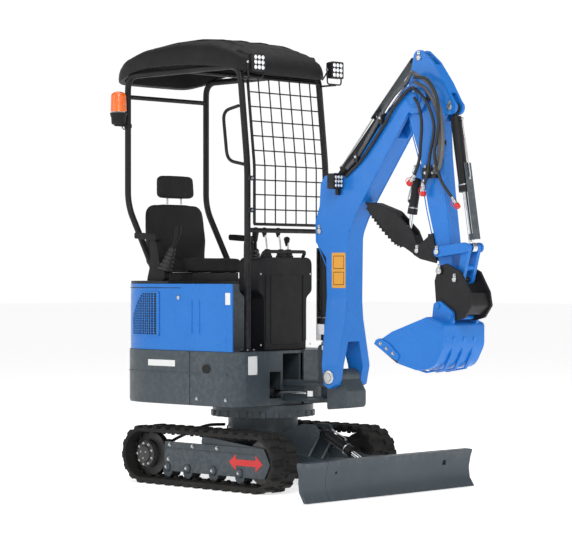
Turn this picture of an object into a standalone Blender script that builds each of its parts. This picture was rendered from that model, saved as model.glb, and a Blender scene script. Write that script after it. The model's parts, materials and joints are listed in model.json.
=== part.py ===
"""Mini excavator of about one tonne, modelled as an assembly of its real sub-parts.

Working frame while building: metres, +Z up, front towards -Y, the machine's left towards +X,
origin on the floor under the slew axis. The last step moves the whole machine so that the
middle of its box stands over the world origin.
"""

import math

import bpy
import bmesh
from mathutils import Matrix, Vector

# ---------------------------------------------------------------- driving dimensions (metres)
GAP = 0.0003                 # between two pieces that touch
CLEAR = 0.003                # beside moving plates
PIN_GAP = 0.0005             # round pins and at the faces of eyes
PIN_RADIUS = 0.0103          # of the cylinders' pins

# undercarriage
TRACK_OUT = 0.450            # half width over the tracks
BELT_WIDTH = 0.180
BELT_RADIUS = 0.150          # outer radius of the belt round idler and sprocket
BELT_THICK = 0.035
IDLER_Y = -0.380
SPROCKET_Y = 0.450
FRAME_PLATE_X = 0.385        # outer face of the track frame's side plate
FRAME_PLATE_THICK = 0.010
FRAME_BOX_X = 0.335          # inner face of the track frame's box
FRAME_LOW = 0.070
FRAME_HIGH = 0.220
ROLLER_RADIUS = 0.034
ROLLER_YS = (-0.22, -0.03, 0.16, 0.31)
PEDESTAL_RADIUS = 0.180
PEDESTAL_LOW = 0.270
PEDESTAL_TOP = 0.352
RING_RADIUS = 0.268
RING_TOP = 0.4140            # just under the house deck
RING_TEETH = 24

# blade
BLADE_HALF = 0.450
WING_WIDTH = 0.165
BLADE_PIVOT = (-0.290, 0.150)        # (y, z)
BLADE_ARM_X = 0.190
BLADE_PIN = (-0.780, 0.120)          # rod eye of the blade cylinder
BLADE_CYL_PIN = (-0.420, 0.292)      # base pin of the blade cylinder

# house
HOUSE_HALF = 0.410
HOUSE_FRONT = -0.220
HOUSE_BEND = 0.285                   # where the straight sides turn into the round tail
HOUSE_REAR = 0.735
TAIL_POWER = 3.6                     # superellipse power of the round tail
HOUSE_LOW = 0.4145
DECK_THICK = 0.030
SKIRT_TOP = 0.690
SKIRT_THICK = 0.012
SKIRT_SPLIT = 0.115                  # seam between side skirt and counterweight
WEIGHT_THICK = 0.075
FLOOR_THICK = 0.014
HOOD_HALF = 0.405
HOOD_THICK = 0.008
HOOD_TOP = 1.030
HOOD_FRONT = -0.188
DOOR_HALF = 0.220
DOOR_MARGIN = 0.025                  # hood left above and below the rear door
DOOR_GAP = 0.003
DOOR_HINGE = (0.2265, 0.7210)        # (x, y) of the hinge line
HINGE_RADIUS = 0.006
SEAT_DECK_THICK = 0.015
SEAT_BASE_TOP = 1.088

# swing post
SWING_Y = -0.470
LUG_RADIUS = 0.040
LUG_HALF = 0.055
LUG_LOW = (0.437, 0.455)
LUG_HIGH = (0.515, 0.532)
SWING_EAR = (-0.120, -0.455)         # (x, y) of the swing cylinder's rod eye
SWING_CYL_PIN = (-0.130, 0.140)      # (x, y) of its base pin
SWING_CYL_Z = 0.485

# canopy
POST_X = 0.285
POST_RADIUS = 0.0165
POST_REAR_Y = 0.730
POST_FRONT_Y = -0.175
POST_KINK_Z = 1.622
POST_REAR_KINK_Z = 1.445
CANOPY_TUBE_Z = 2.130
LAMP_FOOT_Y = -0.1450
ROOF_HALF = 0.315
ROOF_FRONT = -0.210
ROOF_REAR = 0.860
ROOF_LOW = 2.095
ROOF_TOP = 2.300

# working gear: pins as (y, z)
FOOT = (-0.578, 0.569)
BOOM_TIP = (-1.080, 1.920)
BOOM_CYL_TOP = (-0.454, 1.294)
BOOM_CYL_LOW = (-0.454, 0.710)
BOOM_HALF = 0.055
BOOM_FOOT_HALF = 0.120
FOOT_BOSS_HALF = 0.069
ARM_CYL_BASE = (-0.530, 1.530)
ARM_HEAD = (-1.093, 2.117)
ARM_HALF = 0.035
ARM_REAR_LOW = (-1.205, 1.200)
ARM_REAR_MIDDLE = (-1.153, 1.389)
ARM_TIP = (-1.262, 1.094)
BUCKET_CYL_BASE = (-1.285, 1.868)
LINK_PIN = (-1.392, 1.203)
GUIDE_PIN = (-1.228, 1.183)
HITCH_PIN = (-1.352, 1.052)
HOOK_PINS = ((-1.262, 0.928), (-1.335, 0.876))
HITCH_PLATE_X = 0.066                # inner face of the hitch's side plates
HITCH_PLATE_THICK = 0.013
BUCKET_HALF = 0.150
BUCKET_WALL = 0.010
THUMB_PIVOT = (-1.090, 1.190)
THUMB_ROD = (-0.997, 1.258)
THUMB_CYL_BASE = (-1.062, 1.575)
THUMB_HALF = 0.032

# colours, as linear RGB with roughness and metal
PAINTS = {
    "blue": ((0.016, 0.162, 0.610), 0.32, 0.0),
    "slate": ((0.075, 0.095, 0.108), 0.42, 0.1),
    "black": ((0.012, 0.012, 0.013), 0.48, 0.0),
    "rubber": ((0.020, 0.020, 0.020), 0.80, 0.0),
    "vinyl": ((0.018, 0.018, 0.019), 0.60, 0.0),
    "steel": ((0.560, 0.570, 0.580), 0.28, 1.0),
    "iron": ((0.050, 0.050, 0.052), 0.50, 0.5),
    "amber": ((0.900, 0.260, 0.020), 0.25, 0.0),
}

# ---------------------------------------------------------------- scene helpers

PARTS = None
PIVOTS = {}


def clear_scene():
    """Remove every object that the start file brings."""
    for item in list(bpy.data.objects):
        bpy.data.objects.remove(item, do_unlink=True)


def new_object(name, mesh):
    """Link a new mesh object into the parts collection."""
    item = bpy.data.objects.new(name, mesh)
    PARTS.objects.link(item)
    return item


def mesh_of(item):
    """Return the evaluated mesh of an object as a new mesh in world coordinates."""
    bpy.context.view_layer.update()
    graph = bpy.context.evaluated_depsgraph_get()
    mesh = bpy.data.meshes.new_from_object(item.evaluated_get(graph))
    mesh.transform(item.matrix_world)
    return mesh


def closed(mesh):
    """Weld the caps of a converted curve and turn its faces outwards."""
    work = bmesh.new()
    work.from_mesh(mesh)
    bmesh.ops.remove_doubles(work, verts=work.verts, dist=0.00001)
    bmesh.ops.recalc_face_normals(work, faces=work.faces)
    work.to_mesh(mesh)
    work.free()
    return mesh


def curve_mesh(curve, matrix):
    """Turn a curve into a closed mesh object in world coordinates and drop the curve."""
    item = bpy.data.objects.new(curve.name, curve)
    PARTS.objects.link(item)
    item.matrix_world = matrix
    mesh = closed(mesh_of(item))
    bpy.data.objects.remove(item, do_unlink=True)
    return new_object(curve.name, mesh)


SIDE = Matrix(((0, 0, 1, 0), (1, 0, 0, 0), (0, 1, 0, 0), (0, 0, 0, 1)))
FRONT = Matrix(((1, 0, 0, 0), (0, 0, -1, 0), (0, 1, 0, 0), (0, 0, 0, 1)))
PLAN = Matrix.Identity(4)


def prism(points, low, high, plane=SIDE, holes=()):
    """Extrude a flat outline between two levels.

    SIDE takes (y, z) points and x levels, PLAN takes (x, y) and z, FRONT takes (x, z) and y.
    """
    curve = bpy.data.curves.new("outline", "CURVE")
    curve.dimensions = "2D"
    curve.fill_mode = "BOTH"
    curve.extrude = (high - low) / 2
    for loop in (points, *holes):
        spline = curve.splines.new("POLY")
        spline.points.add(len(loop) - 1)
        for place, (a, b) in zip(spline.points, loop):
            place.co = (a, b, 0, 1)
        spline.use_cyclic_u = True
    middle = (low + high) / 2
    if plane is FRONT:
        middle = -middle
    return curve_mesh(curve, plane @ Matrix.Translation((0, 0, middle)))


def box(low, high):
    """A box between two corners."""
    bpy.ops.mesh.primitive_cube_add(size=1)
    item = bpy.context.active_object
    size = Vector(high) - Vector(low)
    middle = (Vector(high) + Vector(low)) / 2
    item.data.transform(Matrix.Translation(middle) @ Matrix.Diagonal((*size, 1)))
    return adopt(item)


def adopt(item):
    """Move an object made by an operator into the parts collection."""
    for group in list(item.users_collection):
        group.objects.unlink(item)
    PARTS.objects.link(item)
    return item


def cylinder(start, end, radius, sides=16, radius_end=None):
    """A cylinder, or a cone with radius_end, between two points."""
    start, end = Vector(start), Vector(end)
    along = end - start
    top = radius if radius_end is None else radius_end
    bpy.ops.mesh.primitive_cone_add(vertices=sides, radius1=radius, radius2=top, depth=along.length)
    item = bpy.context.active_object
    turn = Vector((0, 0, 1)).rotation_difference(along).to_matrix().to_4x4()
    item.data.transform(Matrix.Translation((start + end) / 2) @ turn)
    return adopt(item)


def pin(place, x_low, x_high, radius, sides=16):
    """A cylinder along X through a (y, z) place."""
    return cylinder((x_low, *place), (x_high, *place), radius, sides)


def tube(points, radius, resolution=1, bend=0.0, steps=4):
    """A round bar along a chain of points, with its corners bent to a radius."""
    path = [Vector(p) for p in points]
    route = [path[0]]
    for before, corner, after in zip(path, path[1:], path[2:]):
        route += corner_arc(before, corner, after, bend, steps)
    route.append(path[-1])
    curve = bpy.data.curves.new("tube", "CURVE")
    curve.dimensions = "3D"
    curve.bevel_depth = radius
    curve.bevel_resolution = resolution
    curve.use_fill_caps = True
    spline = curve.splines.new("POLY")
    spline.points.add(len(route) - 1)
    for place, p in zip(spline.points, route):
        place.co = (*p, 1)
    return curve_mesh(curve, Matrix.Identity(4))


def corner_arc(before, corner, after, radius, steps):
    """Points of the arc that rounds one corner of a route."""
    back = (before - corner).normalized()
    ahead = (after - corner).normalized()
    angle = back.angle(ahead)
    if radius <= 0 or angle > math.pi - 0.01:
        return [corner]
    reach = min(radius / math.tan(angle / 2), (before - corner).length * 0.49,
                (after - corner).length * 0.49)
    size = reach * math.tan(angle / 2)
    middle = corner + (back + ahead).normalized() * (size / math.sin(angle / 2))
    first = corner + back * reach - middle
    last = corner + ahead * reach - middle
    sweep = first.angle(last)
    points = []
    for step in range(steps + 1):
        share = step / steps
        a = math.sin((1 - share) * sweep) / math.sin(sweep)
        b = math.sin(share * sweep) / math.sin(sweep)
        points.append(middle + first * a + last * b)
    return points


def rounded(corners, steps=3):
    """A closed outline from (a, b) or (a, b, radius) corners, with round corners as arcs."""
    flat = [Vector((c[0], c[1], 0)) for c in corners]
    radii = [c[2] if len(c) > 2 else 0 for c in corners]
    loop = []
    for i, corner in enumerate(flat):
        after = flat[(i + 1) % len(flat)]
        loop += corner_arc(flat[i - 1], corner, after, radii[i], steps)
    return [(p.x, p.y) for p in loop]


def arc(middle, radius, start, end, steps=8):
    """Points on an arc, angles in degrees."""
    points = []
    for step in range(steps + 1):
        angle = math.radians(start + (end - start) * step / steps)
        points.append((middle[0] + radius * math.cos(angle), middle[1] + radius * math.sin(angle)))
    return points


def combine(base, other, operation):
    """Apply one exact Boolean to base and drop the other object."""
    tool = base.modifiers.new("join", "BOOLEAN")
    tool.operation = operation
    tool.solver = "EXACT"
    tool.object = other
    mesh = mesh_of(base)
    base.modifiers.clear()
    base.data = mesh
    bpy.data.objects.remove(other, do_unlink=True)
    return base


def fuse(base, *others):
    """Union of several solids."""
    for other in others:
        combine(base, other, "UNION")
    return base


def cut(base, *others):
    """Solids taken away from a solid."""
    for other in others:
        combine(base, other, "DIFFERENCE")
    return base


def common(base, other):
    """What two solids share."""
    return combine(base, other, "INTERSECT")


def mirrored(item):
    """A copy of a solid on the other side of the machine."""
    mesh = item.data.copy()
    mesh.transform(Matrix.Diagonal((-1, 1, 1, 1)))
    mesh.flip_normals()
    return new_object("mirrored", mesh)


def material(name):
    """The Principled material of one paint."""
    found = bpy.data.materials.get(name)
    if found:
        return found
    colour, roughness, metal = PAINTS[name]
    found = bpy.data.materials.new(name)
    found.use_nodes = True
    shader = found.node_tree.nodes["Principled BSDF"]
    shader.inputs["Base Color"].default_value = (*colour, 1)
    shader.inputs["Roughness"].default_value = roughness
    shader.inputs["Metallic"].default_value = metal
    return found


def pivot(name, parent, place):
    """An empty that stands for a moving body, on its joint's axis."""
    empty = bpy.data.objects.new(name + "_pivot", None)
    PARTS.objects.link(empty)
    empty["place"] = place
    if parent:
        empty.parent = PIVOTS[parent]
        empty.location = Vector(place) - Vector(PIVOTS[parent]["place"])
    PIVOTS[name] = empty
    return empty


def part(name, item, body, paint):
    """Name a finished solid, give it its material and hang it on its body."""
    item.name = name
    item.data.name = name
    item.data.transform(Matrix.Translation(-Vector(PIVOTS[body]["place"])))
    item.parent = PIVOTS[body]
    item.data.materials.clear()
    item.data.materials.append(material(paint))
    item.data.shade_smooth()
    item.data.set_sharp_from_angle(angle=math.radians(35))
    return item


def at_x(x, place):
    """A (y, z) place as a point at x."""
    return (x, place[0], place[1])


# ---------------------------------------------------------------- undercarriage

def stadium(radius, steps=10):
    """Side outline of the track loop at a radius round idler and sprocket."""
    z = BELT_RADIUS
    front = arc((IDLER_Y, z), radius, 270, 90, steps)
    rear = arc((SPROCKET_Y, z), radius, 90, -90, steps)
    return front + rear


def build_undercarriage():
    """Car body, track frames, belts, idlers and sprockets."""
    body = box((-0.235, -0.200, 0.105), (0.235, 0.210, PEDESTAL_LOW))
    pedestal = cylinder((0, 0, PEDESTAL_LOW - 0.02), (0, 0, PEDESTAL_TOP), PEDESTAL_RADIUS, 32)
    leg_x = FRAME_BOX_X - GAP
    front_leg = box((-leg_x, -0.170, 0.115), (leg_x, -0.080, 0.205))
    rear_leg = box((-leg_x, 0.090, 0.115), (leg_x, 0.180, 0.205))
    nose = rounded(((-0.19, 0.11), (-0.345, 0.11, 0.02), (-0.455, 0.275, 0.03),
                    (-0.425, 0.325, 0.03), (-0.34, 0.325, 0.02), (-0.19, 0.265)))
    right_cheek = prism(nose, -0.062, -0.047)
    left_cheek = prism(nose, 0.047, 0.062)
    body = fuse(body, pedestal, front_leg, rear_leg, right_cheek, left_cheek)
    for side in (-1, 1):
        eye_face = BLADE_ARM_X - 0.022 - PIN_GAP
        eye = pin(BLADE_PIVOT, *sorted((side * 0.140, side * eye_face)), 0.032)
        strap = box((min(side * 0.140, side * 0.165), -0.29, 0.125),
                    (max(side * 0.140, side * 0.165), -0.19, 0.175))
        fuse(body, eye, strap)
    fuse(body, pin(BLADE_CYL_PIN, -0.060, 0.060, PIN_RADIUS, 14))
    part("car_body", body, "undercarriage", "slate")

    ring = cylinder((0, 0, PEDESTAL_TOP + GAP), (0, 0, RING_TOP), RING_RADIUS - 0.008, 40)
    tooth_width = math.pi * RING_RADIUS / RING_TEETH * 0.5
    loop = []
    for tooth in range(RING_TEETH):
        middle = 2 * math.pi * tooth / RING_TEETH
        for turn, radius in ((-0.5, RING_RADIUS - 0.008), (-0.3, RING_RADIUS), (0.3, RING_RADIUS),
                             (0.5, RING_RADIUS - 0.008)):
            angle = middle + turn * 2 * tooth_width / RING_RADIUS
            loop.append((radius * math.cos(angle), radius * math.sin(angle)))
    gear = prism(loop, PEDESTAL_TOP + GAP, PEDESTAL_TOP + 0.030, PLAN)
    part("slew_ring", fuse(ring, gear), "undercarriage", "iron")

    for side, word in ((-1, "right"), (1, "left")):
        def levels(a, b, way=side):
            return min(way * a, way * b), max(way * a, way * b)
        belt = prism(stadium(BELT_RADIUS), *levels(TRACK_OUT - BELT_WIDTH, TRACK_OUT),
                     holes=(stadium(BELT_RADIUS - BELT_THICK),))
        part("track_" + word, belt, "undercarriage", "rubber")

        plate = rounded(((-0.435, 0.145, 0.02), (-0.390, FRAME_HIGH), (0.330, FRAME_HIGH),
                         (0.330, FRAME_LOW), (-0.395, FRAME_LOW)))
        frame = prism(plate, *levels(FRAME_PLATE_X - FRAME_PLATE_THICK, FRAME_PLATE_X))
        low, high = levels(FRAME_BOX_X, FRAME_PLATE_X - 0.005)
        fuse(frame, box((low, -0.235, FRAME_LOW + 0.02), (high, 0.320, FRAME_HIGH - 0.01)))
        for y in ROLLER_YS:
            z = BELT_THICK + 0.0015 + ROLLER_RADIUS
            fuse(frame, pin((y, z), *levels(0.320, 0.383), ROLLER_RADIUS, 16))
        fuse(frame, pin((0.04, 0.232), *levels(0.345, 0.375), 0.026, 16))
        part("track_frame_" + word, frame, "undercarriage", "slate")

        wheel_radius = BELT_RADIUS - BELT_THICK - 0.0015
        z = BELT_RADIUS
        idler = pin((IDLER_Y, z), *levels(0.318, FRAME_PLATE_X - FRAME_PLATE_THICK - GAP), wheel_radius, 28)
        cut(idler, pin((IDLER_Y, z), *levels(0.300, 0.335), wheel_radius * 0.72, 24))
        fuse(idler, pin((IDLER_Y, z), *levels(0.310, 0.360), 0.030, 20))
        part("idler_" + word, idler, "undercarriage", "iron")

        sprocket = pin((SPROCKET_Y, z), *levels(0.335, 0.372), wheel_radius, 28)
        hub = pin((SPROCKET_Y, z), *levels(0.372, 0.400), wheel_radius * 0.62, 24)
        motor = pin((SPROCKET_Y, z), *levels(0.240, 0.340), wheel_radius * 0.60, 24)
        bracket = box((levels(0.2355, 0.30)[0], 0.19, 0.12), (levels(0.2355, 0.30)[1], 0.42, 0.18))
        part("sprocket_" + word, fuse(sprocket, hub, motor, bracket), "undercarriage", "iron")


def build_blade():
    """Dozer blade with its wings and its cylinder."""
    section = ((-0.905, 0.005), (-0.874, 0.050), (-0.868, 0.100), (-0.878, 0.150), (-0.892, 0.192),
               (-0.842, 0.194), (-0.838, 0.176), (-0.850, 0.140), (-0.848, 0.095), (-0.855, 0.050),
               (-0.884, 0.005))
    blade = prism(section, -BLADE_HALF, BLADE_HALF)
    for side in (-1, 1):
        low, high = sorted((side * (BLADE_ARM_X - 0.022), side * BLADE_ARM_X))
        outline = rounded(((-0.255, 0.115, 0.03), (-0.255, 0.185, 0.03), (-0.330, 0.195), (-0.600, 0.165),
                           (-0.856, 0.165), (-0.858, 0.060), (-0.620, 0.085)))
        fuse(blade, prism(outline, low, high))
    cross = rounded(((-0.560, 0.100), (-0.560, 0.168), (-0.700, 0.176), (-0.700, 0.090)))
    for side in (-1, 1):
        low, high = sorted((side * 0.045, side * (BLADE_ARM_X - 0.01)))
        fuse(blade, prism(cross, low, high))
        low, high = sorted((side * 0.024, side * 0.046))
        lug = rounded(((-0.856, 0.070), (-0.690, 0.095), (-0.690, 0.150, 0.02), (-0.780, 0.160, 0.02), (-0.856, 0.165)))
        fuse(blade, prism(lug, low, high))
        low, high = sorted((side * (0.016 + PIN_GAP), side * 0.026))
        fuse(blade, pin(BLADE_PIN, low, high, PIN_RADIUS, 14))
    cut(blade, cylinder((-0.382, -0.95, 0.135), (-0.382, -0.78, 0.135), 0.007, 12))
    cut(blade, box((0.398, -0.95, 0.122), (0.424, -0.78, 0.146)))
    part("blade", blade, "blade", "slate")
    for side, word in ((-1, "right"), (1, "left")):
        low, high = sorted((side * (BLADE_HALF + GAP), side * (BLADE_HALF + WING_WIDTH)))
        part("blade_wing_" + word, prism(section, low, high), "blade", "slate")


# ---------------------------------------------------------------- house

def tail(half, rear, steps=16):
    """Plan points of the round tail from the right side to the left side."""
    points = []
    for step in range(steps + 1):
        angle = math.pi - math.pi * step / steps
        c, s = math.cos(angle), math.sin(angle)
        x = half * math.copysign(abs(c) ** (2 / TAIL_POWER), c)
        y = (rear - HOUSE_BEND) * abs(s) ** (2 / TAIL_POWER)
        points.append((x, HOUSE_BEND + y))
    return points


def build_platform():
    """Deck, swing lugs, floor and bulkhead as one welded frame."""
    inner = HOUSE_HALF - WEIGHT_THICK - GAP
    front_half = HOUSE_HALF - SKIRT_THICK - GAP
    low = HOUSE_LOW
    right = [(-front_half + 0.07, HOUSE_FRONT + SKIRT_THICK + GAP), (-front_half, HOUSE_FRONT + 0.09),
             (-front_half, SKIRT_SPLIT - GAP), (-inner, SKIRT_SPLIT - GAP)]
    left = [(-x, y) for x, y in reversed(right)]
    outline = right + tail(inner, HOUSE_REAR - WEIGHT_THICK - GAP) + left
    frame = prism(outline, low, low + DECK_THICK, PLAN)
    floor_outline = right + [(-inner, HOUSE_BEND + 0.010), (inner, HOUSE_BEND + 0.010)] + left
    floor = prism(floor_outline, SKIRT_TOP - FLOOR_THICK, SKIRT_TOP, PLAN)
    bulkhead = box((-front_half + 0.012, HOUSE_BEND, low + 0.01), (front_half - 0.012, HOUSE_BEND + 0.014, HOOD_TOP - GAP))
    cut(bulkhead, box((-1, HOUSE_BEND - 0.1, low), (-inner + 0.002, HOUSE_BEND + 0.1, SKIRT_TOP + 0.001)))
    cut(bulkhead, box((inner - 0.002, HOUSE_BEND - 0.1, low), (1, HOUSE_BEND + 0.1, SKIRT_TOP + 0.001)))
    post_right = box((-0.075, HOUSE_FRONT + 0.02, low + 0.01), (-0.060, 0.10, SKIRT_TOP - 0.005))
    post_left = box((0.060, HOUSE_FRONT + 0.02, low + 0.01), (0.075, 0.10, SKIRT_TOP - 0.005))
    rail_right = box((-0.330, -0.13, low + 0.01), (-0.318, 0.10, SKIRT_TOP - 0.005))
    rail_left = box((0.318, -0.13, low + 0.01), (0.330, 0.10, SKIRT_TOP - 0.005))
    frame = fuse(frame, floor, bulkhead, post_right, post_left, rail_right, rail_left)
    lug = [(-LUG_HALF, -0.18), (LUG_HALF, -0.18), (0.055, -0.40)]
    lug += arc((0, SWING_Y), LUG_RADIUS, 10, -190, 10)
    lug += [(-0.055, -0.40)]
    for low_z, high_z in (LUG_LOW, LUG_HIGH):
        fuse(frame, prism(lug, low_z, high_z, PLAN))
    web = box((-LUG_HALF + 0.006, -0.345, LUG_LOW[0] + 0.004), (LUG_HALF - 0.006, -0.180, LUG_HIGH[1] - 0.004))
    tie = box((-0.070, HOUSE_FRONT + 0.02, low + 0.01), (0.070, -0.175, LUG_HIGH[1]))
    fuse(frame, web, tie)
    cheek = box((-LUG_HALF, -0.345, LUG_HIGH[1] - 0.005), (LUG_HALF, -0.18, LUG_HIGH[1] + 0.01))
    fuse(frame, cheek)
    ears = box((SWING_CYL_PIN[0] - 0.03, SWING_CYL_PIN[1] - 0.028, HOUSE_LOW + 0.01),
               (SWING_CYL_PIN[0] + 0.03, SWING_CYL_PIN[1] + 0.06, SWING_CYL_Z - 0.020))
    fuse(frame, ears)
    fuse(frame, cylinder((*SWING_CYL_PIN, SWING_CYL_Z - 0.026), (*SWING_CYL_PIN, SWING_CYL_Z - 0.014 - PIN_GAP), 0.014, 14))
    fuse(frame, cylinder((*SWING_CYL_PIN, SWING_CYL_Z - 0.024), (*SWING_CYL_PIN, SWING_CYL_Z + 0.020), PIN_RADIUS, 14))
    part("platform", frame, "house", "slate")


def skirt_outline():
    """Right side skirt: a bent wall from the counterweight seam round the front corner."""
    half, front, thick = HOUSE_HALF, HOUSE_FRONT, SKIRT_THICK
    radius = 0.080
    outer = arc((-half + radius, front + radius), radius, 180, 270, 6)
    inner = arc((-half + radius, front + radius), radius - thick, 270, 180, 6)
    return ([(-half, SKIRT_SPLIT - GAP)] + outer + [(-0.0765, front), (-0.0765, front + thick)]
            + inner + [(-half + thick, SKIRT_SPLIT - GAP)])


def build_house():
    """Skirts, counterweight, hood, rear door, decks and what the operator touches."""
    low = HOUSE_LOW
    skirt = prism(skirt_outline(), low, SKIRT_TOP - GAP, PLAN)
    left = mirrored(skirt)
    window = box((-0.170, HOUSE_FRONT - 0.02, 0.452), (-0.0900, HOUSE_FRONT + 0.03, 0.585))
    part("side_skirt_right", cut(skirt, window), "house", "slate")
    part("side_skirt_left", left, "house", "slate")

    half, rear = HOUSE_HALF, HOUSE_REAR
    ring = [(-half, SKIRT_SPLIT)] + tail(half, rear) + [(half, SKIRT_SPLIT), (half - WEIGHT_THICK, SKIRT_SPLIT)]
    ring += list(reversed(tail(half - WEIGHT_THICK, rear - WEIGHT_THICK))) + [(-half + WEIGHT_THICK, SKIRT_SPLIT)]
    weight = prism(ring, low, SKIRT_TOP - GAP, PLAN)
    slope = prism(((0.60, low - 0.01), (0.80, low - 0.01), (0.80, low + 0.055), (0.70, low + 0.020)), -0.5, 0.5)
    part("counterweight", cut(weight, slope), "house", "slate")

    hood_half, thick = HOOD_HALF, HOOD_THICK
    rear = HOUSE_REAR - 0.005
    wall = [(-hood_half, HOOD_FRONT)] + tail(hood_half, rear)
    wall += list(reversed(tail(hood_half - thick, rear - thick))) + [(-hood_half + thick, HOOD_FRONT)]
    hood = prism(wall, SKIRT_TOP + GAP, HOOD_TOP, PLAN)
    door_low, door_high = SKIRT_TOP + DOOR_MARGIN, HOOD_TOP - DOOR_MARGIN
    hole = box((-DOOR_HALF - DOOR_GAP, 0.5, door_low - DOOR_GAP), (DOOR_HALF + DOOR_GAP, 0.9, door_high + DOOR_GAP))
    door = prism(wall, door_low, door_high, PLAN)
    common(door, box((-DOOR_HALF, 0.5, door_low), (DOOR_HALF, 0.9, door_high)))
    cut(hood, hole)
    hinge_x, hinge_y = DOOR_HINGE
    for z in (0.770, 0.930):
        fuse(hood, cylinder((hinge_x, hinge_y, z), (hinge_x, hinge_y, z + 0.020), HINGE_RADIUS, 12))
        fuse(hood, box((hinge_x, hinge_y - 0.012, z + 0.001), (hinge_x + 0.026, hinge_y - 0.003, z + 0.019)))
        fuse(door, cylinder((hinge_x, hinge_y, z + 0.020 + PIN_GAP), (hinge_x, hinge_y, z + 0.040), HINGE_RADIUS, 12))
        fuse(door, box((hinge_x - 0.034, hinge_y - 0.0062, z + 0.0215), (hinge_x, hinge_y - 0.001, z + 0.039)))
    part("engine_hood", hood, "house", "blue")
    part("rear_door", door, "rear_door", "blue")

    engine = box((-0.20, 0.335, low + DECK_THICK + GAP), (0.20, 0.625, 0.920))
    part("engine_block", engine, "house", "iron")

    deck = [(-hood_half, HOUSE_BEND)] + tail(hood_half, rear, 14) + [(hood_half, HOUSE_BEND)]
    seat_deck = prism(deck, HOOD_TOP + GAP, HOOD_TOP + SEAT_DECK_THICK, PLAN)
    base = box((-0.165, 0.350, HOOD_TOP + 0.01), (0.165, 0.600, SEAT_BASE_TOP))
    part("seat_deck", fuse(seat_deck, base), "house", "black")

    console = rounded(((-0.150, SKIRT_TOP + GAP), (0.150, SKIRT_TOP + GAP), (0.155, 0.960, 0.03), (0.195, 0.990, 0.03),
                       (0.195, 1.165, 0.035), (-0.195, 1.165, 0.035), (-0.195, 0.990, 0.03), (-0.155, 0.960, 0.03)))
    cover = prism(console, -0.165, -0.020, FRONT)
    part("front_cover", cover, "house", "black")

    levers = box((-0.075, -0.110, 1.165 + GAP), (0.150, -0.040, 1.178))
    for x in (-0.034, 0.034):
        fuse(levers, cylinder((x, -0.072, 1.172), (x, -0.068, 1.215), 0.026, 14, 0.012))
        fuse(levers, tube(((x, -0.070, 1.20), (x, -0.058, 1.255), (x, -0.052, 1.33)), 0.009, 1, 0.03))
    fuse(levers, tube(((0.118, -0.085, 1.172), (0.128, -0.078, 1.25)), 0.006, 1))
    part("travel_levers", levers, "house", "black")

    rail = tube(((-0.150, -0.140, 1.150), (-0.150, -0.160, 1.195), (0.150, -0.160, 1.195),
                 (0.150, -0.140, 1.150)), 0.009, 1, 0.02)
    cut(rail, box((-0.3, -0.3, 1.10), (0.3, 0.0, 1.165 + GAP)))
    part("hand_rail", rail, "house", "black")


def build_seat():
    """Seat, headrest and the two arm consoles with their control levers."""
    cushion = rounded(((0.330, SEAT_BASE_TOP + GAP, 0.02), (0.642, SEAT_BASE_TOP + GAP, 0.01), (0.642, 1.150, 0.02),
                       (0.345, 1.170, 0.03)))
    part("seat_cushion", soften(prism(cushion, -0.215, 0.215), 0.02), "house", "vinyl")
    back = rounded(((0.6425, 1.100, 0.01), (0.700, 1.110, 0.02), (0.703, 1.445, 0.02), (0.660, 1.465, 0.02),
                    (0.630, 1.250, 0.05), (0.6425, 1.165)))
    slab = prism(back, -0.210, 0.210)
    shape = rounded(((-0.200, 1.08, 0.03), (0.200, 1.08, 0.03), (0.212, 1.20, 0.05), (0.130, 1.470, 0.05),
                     (-0.130, 1.470, 0.05), (-0.212, 1.20, 0.05)), 5)
    common(slab, prism(shape, 0.5, 0.8, FRONT))
    part("seat_back", slab, "house", "vinyl")
    rest = rounded(((0.640, 1.487, 0.02), (0.697, 1.484, 0.02), (0.695, 1.610, 0.02), (0.652, 1.612, 0.02)))
    head = soften(prism(rest, -0.125, 0.125), 0.018)
    for x in (-0.05, 0.05):
        fuse(head, cylinder((x, 0.678, 1.4566), (x, 0.678, 1.500), 0.006, 10))
    part("headrest", head, "house", "vinyl")

    deck = HOOD_TOP + SEAT_DECK_THICK + GAP
    for side, word in ((-1, "right"), (1, "left")):
        pad = rounded(((0.420, 1.250, 0.015), (0.590, 1.262, 0.015), (0.590, 1.300, 0.015), (0.420, 1.288, 0.015)))
        low, high = sorted((side * 0.318, side * 0.368))
        console = prism(pad, low, high)
        column = rounded(((0.360, deck), (0.500, deck), (0.470, 1.10), (0.475, 1.268), (0.430, 1.262), (0.395, 1.12),
                          (0.360, 1.10)))
        low, high = sorted((side * 0.322, side * 0.358))
        fuse(console, prism(column, low, high))
        fuse(console, cylinder((side * 0.335, 0.385, 1.095), (side * 0.300, 0.360, 1.215), 0.034, 14, 0.012))
        fuse(console, tube(((side * 0.308, 0.365, 1.19), (side * 0.285, 0.345, 1.27), (side * 0.282, 0.335, 1.33)),
                           0.014, 1, 0.03))
        part("console_" + word, console, "house", "black")


def soften(item, width):
    """Round every sharp edge of a solid."""
    edge = item.modifiers.new("round", "BEVEL")
    edge.width = width
    edge.segments = 2
    edge.limit_method = "ANGLE"
    edge.angle_limit = math.radians(50)
    mesh = mesh_of(item)
    item.modifiers.clear()
    item.data = closed(mesh)
    return item


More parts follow.
